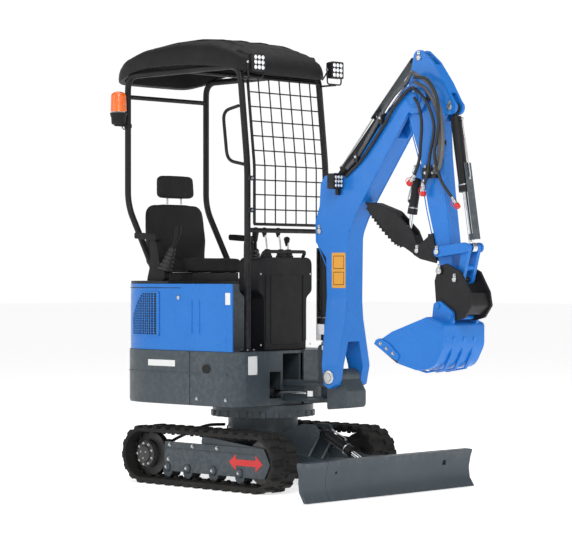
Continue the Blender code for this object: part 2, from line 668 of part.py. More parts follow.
def build_canopy():
    """Hoops, roof, front guard, lamps and beacon."""
    deck = HOOD_TOP + SEAT_DECK_THICK + GAP
    hoops = []
    for side in (-1, 1):
        x = side * POST_X
        route = ((x, 0.520, deck), (x, 0.520, 1.09), (x, POST_REAR_Y, POST_REAR_KINK_Z),
                 (x, POST_REAR_Y, CANOPY_TUBE_Z), (x, -0.120, CANOPY_TUBE_Z),
                 (x, POST_FRONT_Y, POST_KINK_Z), (x, POST_FRONT_Y, SKIRT_TOP + GAP))
        hoops.append(tube(route, POST_RADIUS, 2, 0.06))
    frame = fuse(*hoops)
    inner = POST_X - 0.005
    for y, z in ((POST_REAR_Y, 2.02), (-0.125, 2.085), (POST_FRONT_Y, 1.300), (0.30, CANOPY_TUBE_Z)):
        fuse(frame, tube(((-inner, y, z), (inner, y, z)), 0.012, 1))
    part("canopy_frame", frame, "house", "black")

    side = rounded(((ROOF_FRONT, ROOF_LOW - 0.02, 0.02), (0.05, ROOF_LOW + 0.055, 0.15), (0.50, ROOF_LOW + 0.090, 0.15),
                    (0.80, ROOF_LOW + 0.02, 0.05), (ROOF_REAR, ROOF_LOW, 0.02), (ROOF_REAR, ROOF_LOW + 0.080, 0.05),
                    (0.70, ROOF_TOP - 0.03, 0.15), (0.20, ROOF_TOP, 0.3), (-0.10, ROOF_TOP - 0.065, 0.1),
                    (ROOF_FRONT, ROOF_LOW + 0.050, 0.04)), 5)
    shell = prism(side, -ROOF_HALF, ROOF_HALF)
    plan = rounded(((-ROOF_HALF, ROOF_FRONT, 0.11), (ROOF_HALF, ROOF_FRONT, 0.11), (ROOF_HALF, ROOF_REAR, 0.09),
                    (-ROOF_HALF, ROOF_REAR, 0.09)), 5)
    common(shell, prism(plan, 2.0, 2.4, PLAN))
    crown = rounded(((-ROOF_HALF - 0.01, 2.0), (-ROOF_HALF - 0.01, ROOF_TOP - 0.075), (-ROOF_HALF + 0.05, ROOF_TOP - 0.035, 0.04),
                     (-0.13, ROOF_TOP + 0.001, 0.1), (0.13, ROOF_TOP + 0.001, 0.1), (ROOF_HALF - 0.05, ROOF_TOP - 0.035, 0.04),
                     (ROOF_HALF + 0.01, ROOF_TOP - 0.075), (ROOF_HALF + 0.01, 2.0)), 4)
    common(shell, prism(crown, -0.5, 1.2, FRONT))
    hollow = box((-POST_X - 0.020, ROOF_FRONT + 0.035, 2.0), (POST_X + 0.020, ROOF_REAR - 0.045,
                                                             CANOPY_TUBE_Z + POST_RADIUS + GAP))
    part("canopy_roof", cut(shell, hollow), "house", "black")

    build_guard()
    for side, word in ((-1, "right"), (1, "left")):
        x = side * (POST_X + 0.001)
        lamp = cylinder((x, -0.262, 2.135), (x, -0.228, 2.135), 0.046, 20)
        fuse(lamp, cylinder((x, -0.230, 2.135), (x, -0.212 - GAP, 2.135), 0.046, 20, 0.030))
        fuse(lamp, box((x - 0.010, -0.240, 2.060), (x + 0.010, -0.226, 2.10)))
        fuse(lamp, box((x - 0.010, -0.241, 2.055), (x + 0.010, LAMP_FOOT_Y, 2.063)))
        part("work_lamp_" + word, lamp, "house", "black")

    x = -POST_X - 0.066
    beacon = cylinder((x, POST_REAR_Y, 1.870), (x, POST_REAR_Y, 1.935), 0.040, 20)
    fuse(beacon, cylinder((x, POST_REAR_Y, 1.934), (x, POST_REAR_Y, 2.020), 0.046, 20))
    fuse(beacon, cylinder((x, POST_REAR_Y, 2.019), (x, POST_REAR_Y, 2.046), 0.046, 20, 0.030))
    fuse(beacon, box((x - 0.02, POST_REAR_Y - 0.012, 1.862), (-POST_X - POST_RADIUS - GAP, POST_REAR_Y + 0.012, 1.874)))
    part("beacon", beacon, "house", "amber")


def build_guard():
    """Wire guard before the operator, bent at the posts' kink."""
    kink = (POST_FRONT_Y - POST_RADIUS - 0.010, POST_KINK_Z)
    low = (kink[0], 1.330)
    high = (kink[0] + 0.050, 2.070)
    half = 0.262
    bar = 0.0075
    wire = 0.0035
    frame = tube(((-half, *low), (-half, *kink), (-half, *high)), bar, 1)
    fuse(frame, tube(((half, *low), (half, *kink), (half, *high)), bar, 1))
    for y, z in (low, high, kink):
        fuse(frame, tube(((-half, y, z), (half, y, z)), bar, 1))
    pitch = 2 * half / 7
    for count in range(1, 7):
        x = -half + count * pitch
        fuse(frame, tube(((x, *low), (x, *kink), (x, *high)), wire, 0))
    lower_rows, upper_rows = 3, 5
    for row in range(1, lower_rows + 1):
        z = low[1] + (kink[1] - low[1]) * row / (lower_rows + 1)
        fuse(frame, tube(((-half, low[0], z), (half, low[0], z)), wire, 0))
    for row in range(1, upper_rows + 1):
        share = row / (upper_rows + 1)
        y = kink[0] + (high[0] - kink[0]) * share
        z = kink[1] + (high[1] - kink[1]) * share
        fuse(frame, tube(((-half, y, z), (half, y, z)), wire, 0))
    for side in (-1, 1):
        for z in (1.40, 1.56):
            low_x, high_x = sorted((side * (half - 0.002), side * (POST_X + 0.002)))
            fuse(frame, box((low_x, POST_FRONT_Y - POST_RADIUS - 0.015, z - 0.012),
                            (high_x, POST_FRONT_Y - POST_RADIUS - GAP, z + 0.012)))
    part("front_guard", frame, "house", "black")


# ---------------------------------------------------------------- cylinders

NECK = 1.9                   # where a barrel starts, in eye radii from its pin
BORE_END = 0.010             # metal left before the bore


def axis_frame(start, end):
    """Unit vectors along a cylinder and across it."""
    start, end = Vector(start), Vector(end)
    along = (end - start).normalized()
    return start, end, along


def build_cylinder(name, bodies, base, eye, sizes, guard=None, cross="X"):
    """A hydraulic cylinder: a bored barrel hung at its base pin, and a rod that slides in it.

    sizes holds barrel_radius, rod_radius, barrel_end, engaged, eye_radius and eye_half.
    """
    start, end, along = axis_frame(base, eye)
    side = Vector((1, 0, 0)) if cross == "X" else Vector((0, 0, 1))
    radius, rod, length, engaged, eye_radius, eye_half = sizes
    barrel = cylinder(start + along * (eye_radius * NECK), start + along * length, radius, 20)
    fuse(barrel, cylinder(start + along * 0.005, start + along * (eye_radius * NECK + 0.01), eye_half * 0.93, 14))
    lug = cylinder(start - side * eye_half, start + side * eye_half, eye_radius, 18)
    gland = cylinder(start + along * (length - 0.022), start + along * (length + 0.006), radius * 1.10, 20)
    fuse(barrel, lug, gland)
    bore_start = start + along * (eye_radius * NECK + BORE_END)
    cut(barrel, cylinder(bore_start, start + along * (length + 0.05), rod + 0.0007, 14))
    cut(barrel, cylinder(start - side * 0.1, start + side * 0.1, PIN_RADIUS + PIN_GAP, 14))
    part(name + "_barrel", barrel, bodies[0], "black")
    stem = cylinder(start + along * (length - engaged), end - along * (eye_radius * 0.6), rod, 14)
    fuse(stem, cylinder(end - side * eye_half, end + side * eye_half, eye_radius, 18))
    if guard:
        add_guard(stem, start, end, along, side, guard)
    part(name + "_rod", stem, bodies[1], "steel")


def add_guard(stem, start, end, along, side, guard):
    """A flat strip that shields the rod, carried at the rod's eye."""
    offset, half, back, foot, thick = guard
    across = along.cross(side).normalized()
    if offset < 0:
        across, side, offset = -across, -side, -offset
    turn = Matrix((side, across, along)).transposed().to_4x4()
    place = Matrix.Translation(end) @ turn
    strip = box((-half, offset, -back), (half, offset + thick, -foot))
    strip.data.transform(place)
    block = box((-half * 0.5, 0.0, -foot - 0.030), (half * 0.5, offset + thick, -foot))
    block.data.transform(place)
    fuse(stem, strip, block)


# ---------------------------------------------------------------- working gear

def build_swing():
    """Swing bracket between the house lugs, with the boom's foot boss and cylinder lugs."""
    gap = PIN_GAP
    root = [(LUG_RADIUS, -0.530)] + arc((0, SWING_Y), LUG_RADIUS, 0, 180, 12) + [(-LUG_RADIUS, -0.530)]
    hub = prism(root, LUG_LOW[1] + gap, LUG_HIGH[0] - gap, PLAN)
    nose = rounded(((-0.520, 0.405, 0.01), (-0.655, 0.420, 0.02), (-0.655, 0.500, 0.02), (-0.615, 0.560),
                    (-0.520, 0.590), (-0.520, 0.540)))
    block = prism(nose, -FOOT_BOSS_HALF, FOOT_BOSS_HALF)
    boss = pin(FOOT, -FOOT_BOSS_HALF, FOOT_BOSS_HALF, 0.040, 24)
    base = box((-0.037, -0.532, LUG_HIGH[1] + gap), (0.037, -0.426, LUG_HIGH[1] + 0.028))
    bracket = fuse(hub, block, boss, base)
    plate = rounded(((-0.560, 0.545), (-0.523, 0.545), (-0.430, 0.545, 0.01), (-0.424, 0.720, 0.02),
                     (-0.478, 0.738, 0.02), (-0.492, 0.640), (-0.545, 0.600)))
    for side in (-1, 1):
        low, high = sorted((side * 0.0195, side * 0.036))
        fuse(bracket, prism(plate, low, high))
        low, high = sorted((side * (0.0165 + PIN_GAP), side * 0.030))
        fuse(bracket, pin(BOOM_CYL_LOW, low, high, PIN_RADIUS, 14))
    ear = rounded(((-0.030, -0.500), (-0.030, -0.440), (-0.120, -0.430, 0.02), (-0.148, -0.455, 0.02),
                   (-0.120, -0.485, 0.02)))
    ear_low = LUG_LOW[1] + gap + 0.001
    ear_plate = prism(ear, ear_low, ear_low + 0.009, PLAN)
    fuse(bracket, ear_plate)
    fuse(bracket, cylinder((*SWING_EAR, ear_low + 0.004), (*SWING_EAR, SWING_CYL_Z - 0.014 - PIN_GAP), 0.009, 12))
    part("swing_bracket", bracket, "swing", "slate")
    build_cylinder("swing_cylinder", ("swing_barrel", "swing_rod"), (*SWING_CYL_PIN, SWING_CYL_Z),
                   (*SWING_EAR, SWING_CYL_Z), (0.025, 0.011, 0.330, 0.183, 0.022, 0.014), cross="Z")


def build_boom():
    """Cranked boom: a side outline and a splayed front outline make one box section."""
    side = [(-0.545, 0.530), (-0.530, 0.640), (-0.508, 0.820), (-0.500, 1.160), (-0.428, 1.240), (-0.426, 1.340),
            (-0.455, 1.420), (-0.462, 1.530), (-0.490, 1.568), (-0.560, 1.582), (-0.640, 1.553), (-0.910, 1.858),
            (-1.020, 1.966)]
    side += arc(BOOM_TIP, 0.074, 52, 300, 12)
    side += [(-0.985, 1.772), (-0.760, 1.462), (-0.690, 1.362), (-0.650, 1.270), (-0.642, 0.950), (-0.634, 0.620),
             (-0.615, 0.532), (-0.578, 0.512)]
    body = prism(side, -BOOM_FOOT_HALF, BOOM_FOOT_HALF)
    wide, slim = BOOM_FOOT_HALF, BOOM_HALF
    fork_half = FOOT_BOSS_HALF + PIN_GAP
    front = [(-wide, 0.50), (-wide, 0.63), (-slim - 0.012, 0.86), (-slim, 0.97), (-slim, 2.2), (slim, 2.2),
             (slim, 0.97), (slim + 0.012, 0.86), (wide, 0.63), (wide, 0.50),
             (fork_half, 0.50), (fork_half, 0.625), (0.040, 0.745), (-0.040, 0.745), (-fork_half, 0.625),
             (-fork_half, 0.50)]
    common(body, prism(front, -1.4, -0.3, FRONT))
    cut(body, box((-0.0385, -0.4965, 0.78), (0.0385, -0.38, 1.335)))
    knee = rounded(((-0.40, 1.478), (-0.535, 1.478), (-0.70, 1.650), (-0.70, 1.80), (-0.40, 1.80)))
    cut(body, prism(knee, -0.0345, 0.0345))
    fork = rounded(((-0.915, 1.98), (-0.915, 1.80, 0.03), (-0.985, 1.70), (-1.30, 1.70), (-1.30, 2.1), (-1.0, 2.1)))
    cut(body, prism(fork, -ARM_HALF - PIN_GAP, ARM_HALF + PIN_GAP))
    for place in (BOOM_CYL_TOP, ARM_CYL_BASE):
        fuse(body, pin(place, -0.045, 0.045, PIN_RADIUS, 14))
    part("boom", body, "boom", "blue")

    lamp = box((-0.128, -0.620, 1.500), (-0.060, -0.575, 1.575))
    foot = box((-0.075, -0.600, 1.470), (-BOOM_HALF - GAP, -0.580, 1.510))
    part("boom_lamp", fuse(lamp, foot), "boom", "black")
    build_cylinder("boom_cylinder", ("boom_barrel", "boom_rod"), at_x(0, BOOM_CYL_TOP), at_x(0, BOOM_CYL_LOW),
                   (0.032, 0.014, 0.460, 0.260, 0.027, 0.0165), guard=(-0.041, 0.030, 0.500, 0.036, 0.004))


def build_arm():
    """Dipper arm with its two pin lobes, and its cylinder."""
    outline = arc(ARM_HEAD, 0.036, 10, 110, 5)
    outline += [(-1.175, 2.092), (-1.250, 1.990), (-1.303, 1.900)]
    outline += arc(BUCKET_CYL_BASE, 0.036, 160, 300, 6)
    outline += [(-1.238, 1.800), (-1.246, 1.638), (-1.266, 1.448), (-1.298, 1.200)]
    outline += arc(ARM_TIP, 0.034, 185, 355, 7)
    outline += [ARM_REAR_LOW, ARM_REAR_MIDDLE, (-1.104, 1.624), (-1.040, 1.800), (-1.010, 1.920), (-1.036, 2.020)]
    arm = prism(outline, -ARM_HALF, ARM_HALF)
    head_slot = rounded(((-1.02, 2.03), (-1.17, 2.03, 0.02), (-1.22, 2.20), (-1.0, 2.25)))
    cut(arm, prism(head_slot, -0.0185, 0.0185))
    low_slot = rounded(((-1.235, 1.925, 0.02), (-1.36, 1.96), (-1.36, 1.78), (-1.240, 1.800, 0.01)))
    cut(arm, prism(low_slot, -0.0185, 0.0185))
    for side in (-1, 1):
        low, high = sorted((side * (0.0155 + PIN_GAP), side * 0.027))
        fuse(arm, pin(ARM_HEAD, low, high, PIN_RADIUS, 14))
        lug = rounded(((-1.150, 1.610), (-1.075, 1.604, 0.02), (-1.036, 1.575, 0.02), (-1.060, 1.545, 0.02),
                       (-1.150, 1.520)))
        low, high = sorted((side * 0.0175, side * 0.028))
        fuse(arm, prism(lug, low, high))
    fuse(arm, pin(THUMB_CYL_BASE, -0.024, 0.024, PIN_RADIUS, 14), pin(BUCKET_CYL_BASE, -0.027, 0.027, PIN_RADIUS, 14))
    fuse(arm, pin(GUIDE_PIN, -0.062, 0.062, 0.012, 14))
    fuse(arm, pin(ARM_TIP, PIN_GAP - HITCH_PLATE_X, HITCH_PLATE_X - PIN_GAP, 0.026, 16))
    part("arm", arm, "arm", "blue")

    mount = rounded(((-1.208, 1.130), (-1.110, 1.150, 0.02), (-1.058, 1.175, 0.02), (-1.062, 1.214, 0.02),
                     (-1.110, 1.225, 0.02), (-1.208, 1.290)))
    low, high = THUMB_HALF + CLEAR, THUMB_HALF + CLEAR + 0.010
    plates = fuse(prism(mount, -high, -low), prism(mount, low, high),
                  box((-low - 0.001, -1.205, 1.215), (low + 0.001, -1.150, 1.270)),
                  pin(THUMB_PIVOT, -low - 0.002, low + 0.002, 0.011, 14))
    seat = [(y + 0.0004, z) for y, z in (ARM_REAR_LOW, ARM_REAR_MIDDLE)]
    grown = prism([(-1.2276, 1.094), *seat, (-1.25, 1.5), (-1.4, 1.5), (-1.4, 1.05)],
                  -ARM_HALF - 0.02, ARM_HALF + 0.02)
    part("thumb_mount", cut(plates, grown), "arm", "black")
    build_cylinder("arm_cylinder", ("arm_barrel", "arm_rod"), at_x(0, ARM_CYL_BASE), at_x(0, ARM_HEAD),
                   (0.030, 0.013, 0.452, 0.087, 0.026, 0.0155), guard=(0.038, 0.026, 0.420, 0.036, 0.004))


def build_bucket():
    """Bucket, quick hitch and the links that turn them."""
    plate = rounded(((-1.253, 1.115, 0.012), (-1.300, 1.128, 0.012), (-1.385, 1.090, 0.012), (-1.442, 0.995),
                     (-1.454, 0.930, 0.01), (-1.412, 0.873, 0.01), (-1.365, 0.862), (-1.335, 0.856, 0.01),
                     (-1.310, 0.882), (-1.262, 0.906, 0.012), (-1.238, 0.932), (-1.228, 1.046, 0.01)))
    inner, outer = HITCH_PLATE_X, HITCH_PLATE_X + HITCH_PLATE_THICK
    hitch = fuse(prism(plate, -outer, -inner), prism(plate, inner, outer))
    bridge = rounded(((-1.340, 0.965, 0.01), (-1.425, 0.990), (-1.445, 0.930, 0.01), (-1.400, 0.885, 0.01),
                      (-1.360, 0.905)))
    fuse(hitch, prism(bridge, -inner - 0.002, inner + 0.002))
    for place in (ARM_TIP,):
        for side in (-1, 1):
            fuse(hitch, pin(place, *sorted((side * (inner + 0.002), side * (outer + 0.006))), 0.018, 16))
    fuse(hitch, pin(HITCH_PIN, -inner - 0.002, inner + 0.002, 0.011, 14))
    for place in HOOK_PINS:
        cut(hitch, pin(place, -0.2, 0.2, 0.0135, 16))
    part("quick_hitch", hitch, "bucket", "black")

    outline = rounded(((-0.907, 0.742), (-1.067, 0.650, 0.05), (-1.180, 0.622, 0.08), (-1.290, 0.640, 0.08),
                       (-1.345, 0.740, 0.08), (-1.345, 0.845, 0.02), (-1.245, 0.878, 0.02), (-1.023, 0.804)), 4)
    shell = prism(outline, -BUCKET_HALF, BUCKET_HALF)
    hollow = rounded(((-0.925, 0.760), (-1.072, 0.662, 0.045), (-1.180, 0.634, 0.07), (-1.283, 0.651, 0.07),
                      (-1.333, 0.742, 0.07), (-1.333, 0.833, 0.015), (-1.243, 0.864, 0.015), (-1.10, 0.90),
                      (-0.92, 0.85)), 4)
    cut(shell, prism(hollow, -BUCKET_HALF + BUCKET_WALL, BUCKET_HALF - BUCKET_WALL))
    ear = rounded(((-1.225, 0.860), (-1.236, 0.940, 0.015), (-1.272, 0.952, 0.015), (-1.352, 0.900, 0.015),
                   (-1.356, 0.850, 0.01), (-1.330, 0.835)))
    low, high = outer + PIN_GAP, outer + 0.016
    fuse(shell, prism(ear, -high, -low), prism(ear, low, high))
    for place in HOOK_PINS:
        fuse(shell, pin(place, -high - 0.006, high + 0.006, 0.013, 14))
    part("bucket", shell, "bucket", "blue")

    link = capsule(GUIDE_PIN, LINK_PIN, 0.024)
    guides = fuse(prism(link, -0.060, -0.048), prism(link, 0.048, 0.060))
    tie = (GUIDE_PIN[0] * 0.37 + LINK_PIN[0] * 0.63, GUIDE_PIN[1] * 0.37 + LINK_PIN[1] * 0.63)
    fuse(guides, pin(tie, -0.050, 0.050, 0.008, 12))
    cut(guides, pin(GUIDE_PIN, -0.2, 0.2, 0.012 + PIN_GAP, 14))
    part("guide_link", guides, "guide_link", "blue")

    bar = capsule(LINK_PIN, HITCH_PIN, 0.020)
    pull = fuse(prism(bar, -0.045, -0.024), prism(bar, 0.024, 0.045))
    middle = ((LINK_PIN[0] + HITCH_PIN[0]) / 2, (LINK_PIN[1] + HITCH_PIN[1]) / 2 - 0.02)
    fuse(pull, pin(middle, -0.030, 0.030, 0.014, 14))
    for side in (-1, 1):
        fuse(pull, pin(LINK_PIN, *sorted((side * (0.0155 + PIN_GAP), side * (0.048 - PIN_GAP))), 0.0135, 15))
    cut(pull, pin(HITCH_PIN, -0.2, 0.2, 0.011 + PIN_GAP, 14))
    part("bucket_link", pull, "bucket_link", "blue")
    build_cylinder("bucket_cylinder", ("bucket_barrel", "bucket_rod"), at_x(0, BUCKET_CYL_BASE), at_x(0, LINK_PIN),
                   (0.026, 0.012, 0.400, 0.180, 0.024, 0.0155), guard=(0.034, 0.024, 0.400, 0.034, 0.004))


def capsule(first, last, radius):
    """Outline of a link with a round end about each pin."""
    heading = math.degrees(math.atan2(last[1] - first[1], last[0] - first[0]))
    return arc(last, radius, heading - 90, heading + 90, 8) + arc(first, radius, heading + 90, heading + 270, 8)


def build_thumb():
    """Thumb that closes on the bucket, with its cylinder."""
    claw = rounded(((-0.742, 1.432), (-0.800, 1.428, 0.03), (-0.930, 1.385, 0.05), (-1.040, 1.290, 0.03),
                    (-1.075, 1.222, 0.02), (-1.118, 1.205, 0.02), (-1.116, 1.168, 0.02), (-1.075, 1.163, 0.02),
                    (-1.000, 1.205), (-0.930, 1.232), (-0.850, 1.300), (-0.785, 1.365)))
    thumb = prism(claw, -THUMB_HALF, THUMB_HALF)
    slot = rounded(((-1.060, 1.300), (-1.040, 1.215), (-0.955, 1.215), (-0.935, 1.45), (-1.10, 1.45)))
    cut(thumb, prism(slot, -0.0185, 0.0185))
    for side in (-1, 1):
        fuse(thumb, pin(THUMB_ROD, *sorted((side * (0.0135 + PIN_GAP), side * 0.022)), 0.009, 12))
    cut(thumb, pin(THUMB_PIVOT, -0.2, 0.2, 0.011 + PIN_GAP, 14))
    part("thumb", thumb, "thumb", "black")
    build_cylinder("thumb_cylinder", ("thumb_barrel", "thumb_rod"), at_x(0, THUMB_CYL_BASE), at_x(0, THUMB_ROD),
                   (0.022, 0.010, 0.205, 0.130, 0.020, 0.0135))


def build_blade_cylinder():
    """Lift cylinder of the blade."""
    build_cylinder("blade_cylinder", ("blade_barrel", "blade_rod"), at_x(0, BLADE_CYL_PIN), at_x(0, BLADE_PIN),
                   (0.026, 0.012, 0.215, 0.105, 0.022, 0.016))


# ---------------------------------------------------------------- assembly

def build_pivots():
    """One empty for each body, on its joint."""
    pivot("undercarriage", None, (0, 0, 0))
    pivot("blade", "undercarriage", at_x(0, BLADE_PIVOT))
    pivot("blade_barrel", "undercarriage", at_x(0, BLADE_CYL_PIN))
    pivot("blade_rod", "blade_barrel", at_x(0, BLADE_PIN))
    pivot("house", "undercarriage", (0, 0, RING_TOP))
    pivot("rear_door", "house", (*DOOR_HINGE, 0.860))
    pivot("swing", "house", (0, SWING_Y, SWING_CYL_Z))
    pivot("swing_barrel", "house", (*SWING_CYL_PIN, SWING_CYL_Z))
    pivot("swing_rod", "swing_barrel", (*SWING_EAR, SWING_CYL_Z))
    pivot("boom", "swing", at_x(0, FOOT))
    pivot("boom_barrel", "boom", at_x(0, BOOM_CYL_TOP))
    pivot("boom_rod", "boom_barrel", at_x(0, BOOM_CYL_LOW))
    pivot("arm", "boom", at_x(0, BOOM_TIP))
    pivot("arm_barrel", "boom", at_x(0, ARM_CYL_BASE))
    pivot("arm_rod", "arm_barrel", at_x(0, ARM_HEAD))
    pivot("bucket", "arm", at_x(0, ARM_TIP))
    pivot("guide_link", "arm", at_x(0, GUIDE_PIN))
    pivot("bucket_link", "bucket", at_x(0, HITCH_PIN))
    pivot("bucket_barrel", "arm", at_x(0, BUCKET_CYL_BASE))
    pivot("bucket_rod", "bucket_barrel", at_x(0, LINK_PIN))
    pivot("thumb", "arm", at_x(0, THUMB_PIVOT))
    pivot("thumb_barrel", "arm", at_x(0, THUMB_CYL_BASE))
    pivot("thumb_rod", "thumb_barrel", at_x(0, THUMB_ROD))


def centre_machine():
    """Stand the middle of the machine's box over the world origin."""
    bpy.context.view_layer.update()
    corners = []
    for item in PARTS.objects:
        if item.type == "MESH":
            corners += [item.matrix_world @ vertex.co for vertex in item.data.vertices]
    low = [min(c[axis] for c in corners) for axis in range(3)]
    high = [max(c[axis] for c in corners) for axis in range(3)]
    PIVOTS["undercarriage"].location = (-(low[0] + high[0]) / 2, -(low[1] + high[1]) / 2, -low[2])
    bpy.context.view_layer.update()


def main():
    """Build every sub-part in order."""
    global PARTS
    clear_scene()
    PARTS = bpy.data.collections.new("mini_excavator")
    bpy.context.scene.collection.children.link(PARTS)
    build_pivots()
    build_undercarriage()
    build_blade()
    build_platform()
    build_house()
    build_seat()
    build_canopy()
    build_swing()
    build_boom()
    build_arm()
    build_bucket()
    build_thumb()
    build_blade_cylinder()
    centre_machine()


main()
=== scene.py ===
"""Looks of a small tracked excavator: paint, rubber, hoses, seat, canopy and fittings."""

import json
import logging
import math
from dataclasses import dataclass, field
from enum import Enum

import bmesh
import bpy
from mathutils import Matrix, Vector

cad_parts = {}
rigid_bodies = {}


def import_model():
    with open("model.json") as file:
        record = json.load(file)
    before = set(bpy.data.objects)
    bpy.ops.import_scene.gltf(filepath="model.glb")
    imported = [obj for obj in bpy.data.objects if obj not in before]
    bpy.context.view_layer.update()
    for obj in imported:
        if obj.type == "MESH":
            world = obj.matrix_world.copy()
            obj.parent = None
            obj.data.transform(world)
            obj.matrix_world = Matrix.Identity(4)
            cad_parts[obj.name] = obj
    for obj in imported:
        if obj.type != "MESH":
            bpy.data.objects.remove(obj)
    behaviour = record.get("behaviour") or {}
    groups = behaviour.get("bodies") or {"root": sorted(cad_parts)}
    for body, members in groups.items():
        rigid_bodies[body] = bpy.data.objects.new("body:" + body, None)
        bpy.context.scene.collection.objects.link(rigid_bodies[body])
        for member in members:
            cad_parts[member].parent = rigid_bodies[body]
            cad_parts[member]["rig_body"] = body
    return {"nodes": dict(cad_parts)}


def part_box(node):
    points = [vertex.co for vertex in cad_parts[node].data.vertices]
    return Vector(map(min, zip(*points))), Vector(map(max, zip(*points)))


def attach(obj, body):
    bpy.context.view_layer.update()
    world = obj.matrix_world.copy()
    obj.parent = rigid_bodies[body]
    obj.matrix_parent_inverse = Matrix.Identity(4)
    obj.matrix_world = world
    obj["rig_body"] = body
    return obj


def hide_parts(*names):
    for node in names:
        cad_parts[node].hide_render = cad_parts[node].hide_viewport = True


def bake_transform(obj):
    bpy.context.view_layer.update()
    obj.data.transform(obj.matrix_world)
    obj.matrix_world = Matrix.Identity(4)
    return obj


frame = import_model()

LOG = logging.getLogger("excavator")
Point = tuple[float, float, float]
Flat = tuple[float, float]

LOW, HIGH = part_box("slew_ring")
SLEW_Y = (LOW.y + HIGH.y) / 2
SHIFT = Vector((0.0, SLEW_Y, 0.0))


class Plane(Enum):
    """The plane an outline is drawn in; it is extruded along the third axis."""

    SIDE = "yz"
    FRONT = "xz"
    PLAN = "xy"


# ------------------------------------------------------------------ finishes


@dataclass(frozen=True)
class Finish:
    """One surface finish, made of shader nodes.

    Attributes:
        name: the material's name.
        colour: base colour, linear RGB.
        rough: roughness.
        metal: metallic share.
        second: colour of the slow mottling.
        mottle: how much of the second colour shows.
        grain: scale of the fine bump, per metre.
        relief: strength of the fine bump.
        worn: colour that shows along edges.
        wear: how much of the edge colour shows.
        coat: clear coat weight.
        slot: the record's material slot; not used.
        shine: specular level.
    """

    name: str
    colour: Point
    rough: float = 0.4
    metal: float = 0.0
    second: Point = (0.02, 0.02, 0.02)
    mottle: float = 0.15
    grain: float = 260.0
    relief: float = 0.05
    worn: Point = (0.35, 0.37, 0.4)
    wear: float = 0.0
    coat: float = 0.0
    slot: str = "black"
    shine: float = 0.5

    def material(self) -> bpy.types.Material:
        """Build the material, or find it if it is made.

        Returns:
            The Blender material.
        """
        found = bpy.data.materials.get(self.name)
        if found:
            return found
        made = bpy.data.materials.new(self.name)
        made.use_nodes = True
        tree = made.node_tree
        shader = tree.nodes["Principled BSDF"]
        shader.inputs["Base Color"].default_value = (*self.colour, 1)
        shader.inputs["Metallic"].default_value = self.metal
        shader.inputs["Specular IOR Level"].default_value = self.shine
        shader.inputs["Coat Weight"].default_value = self.coat
        shader.inputs["Coat Roughness"].default_value = 0.12
        place = tree.nodes.new("ShaderNodeTexCoord").outputs["Object"]
        self.tint(tree, shader, place)
        self.surface(tree, shader, place)
        return made

    def noise(self, tree: bpy.types.NodeTree, place, scale: float, detail: float = 4.0):
        """A noise texture's factor.

        Args:
            tree: the material's nodes.
            place: socket with the position.
            scale: scale of the noise.
            detail: octaves.

        Returns:
            The factor socket.
        """
        node = tree.nodes.new("ShaderNodeTexNoise")
        node.inputs["Scale"].default_value = scale
        node.inputs["Detail"].default_value = detail
        tree.links.new(place, node.inputs["Vector"])
        return node.outputs["Fac"]

    def spread(self, tree: bpy.types.NodeTree, value, low: float, high: float, to_low: float, to_high: float):
        """Map a factor from one range to another, clamped.

        Args:
            tree: the material's nodes.
            value: the factor socket.
            low: the value that maps to to_low.
            high: the value that maps to to_high.
            to_low: first result.
            to_high: last result.

        Returns:
            The mapped socket.
        """
        node = tree.nodes.new("ShaderNodeMapRange")
        for name, number in (("From Min", low), ("From Max", high), ("To Min", to_low), ("To Max", to_high)):
            node.inputs[name].default_value = number
        tree.links.new(value, node.inputs["Value"])
        return node.outputs["Result"]

    def mix(self, tree: bpy.types.NodeTree, share, first, second):
        """Mix two colours.

        Args:
            tree: the material's nodes.
            share: socket with the share of the second colour.
            first: colour tuple or socket.
            second: colour tuple or socket.

        Returns:
            The colour socket.
        """
        node = tree.nodes.new("ShaderNodeMix")
        node.data_type = "RGBA"
        tree.links.new(share, node.inputs["Factor"])
        for value, socket in ((first, node.inputs[6]), (second, node.inputs[7])):
            if isinstance(value, tuple):
                socket.default_value = (*value, 1)
            else:
                tree.links.new(value, socket)
        return node.outputs[2]

    def tint(self, tree: bpy.types.NodeTree, shader: bpy.types.Node, place) -> None:
        """Mottle the base colour and wear its edges.

        Args:
            tree: the material's nodes.
            shader: the Principled node.
            place: socket with the position.
        """
        slow = self.spread(tree, self.noise(tree, place, 5.0, 6.0), 0.35, 0.75, 0.0, self.mottle)
        colour = self.mix(tree, slow, self.colour, self.second)
        if self.wear:
            crease = tree.nodes.new("ShaderNodeNewGeometry").outputs["Pointiness"]
            edge = self.spread(tree, crease, 0.53, 0.62, 0.0, self.wear)
            broken = self.spread(tree, self.noise(tree, place, 45.0), 0.45, 0.6, 0.0, 1.0)
            both = tree.nodes.new("ShaderNodeMath")
            both.operation = "MULTIPLY"
            tree.links.new(edge, both.inputs[0])
            tree.links.new(broken, both.inputs[1])
            colour = self.mix(tree, both.outputs[0], colour, self.worn)
        tree.links.new(colour, shader.inputs["Base Color"])

    def surface(self, tree: bpy.types.NodeTree, shader: bpy.types.Node, place) -> None:
        """Vary the roughness and add the fine bump.

        Args:
            tree: the material's nodes.
            shader: the Principled node.
            place: socket with the position.
        """
        haze = self.noise(tree, place, 18.0, 8.0)
        rough = self.spread(tree, haze, 0.3, 0.7, max(self.rough - 0.07, 0.03), min(self.rough + 0.1, 1.0))
        tree.links.new(rough, shader.inputs["Roughness"])
        bump = tree.nodes.new("ShaderNodeBump")
        bump.inputs["Strength"].default_value = self.relief
        bump.inputs["Distance"].default_value = 0.001
        tree.links.new(self.height(tree, place), bump.inputs["Height"])
        tree.links.new(bump.outputs["Normal"], shader.inputs["Normal"])

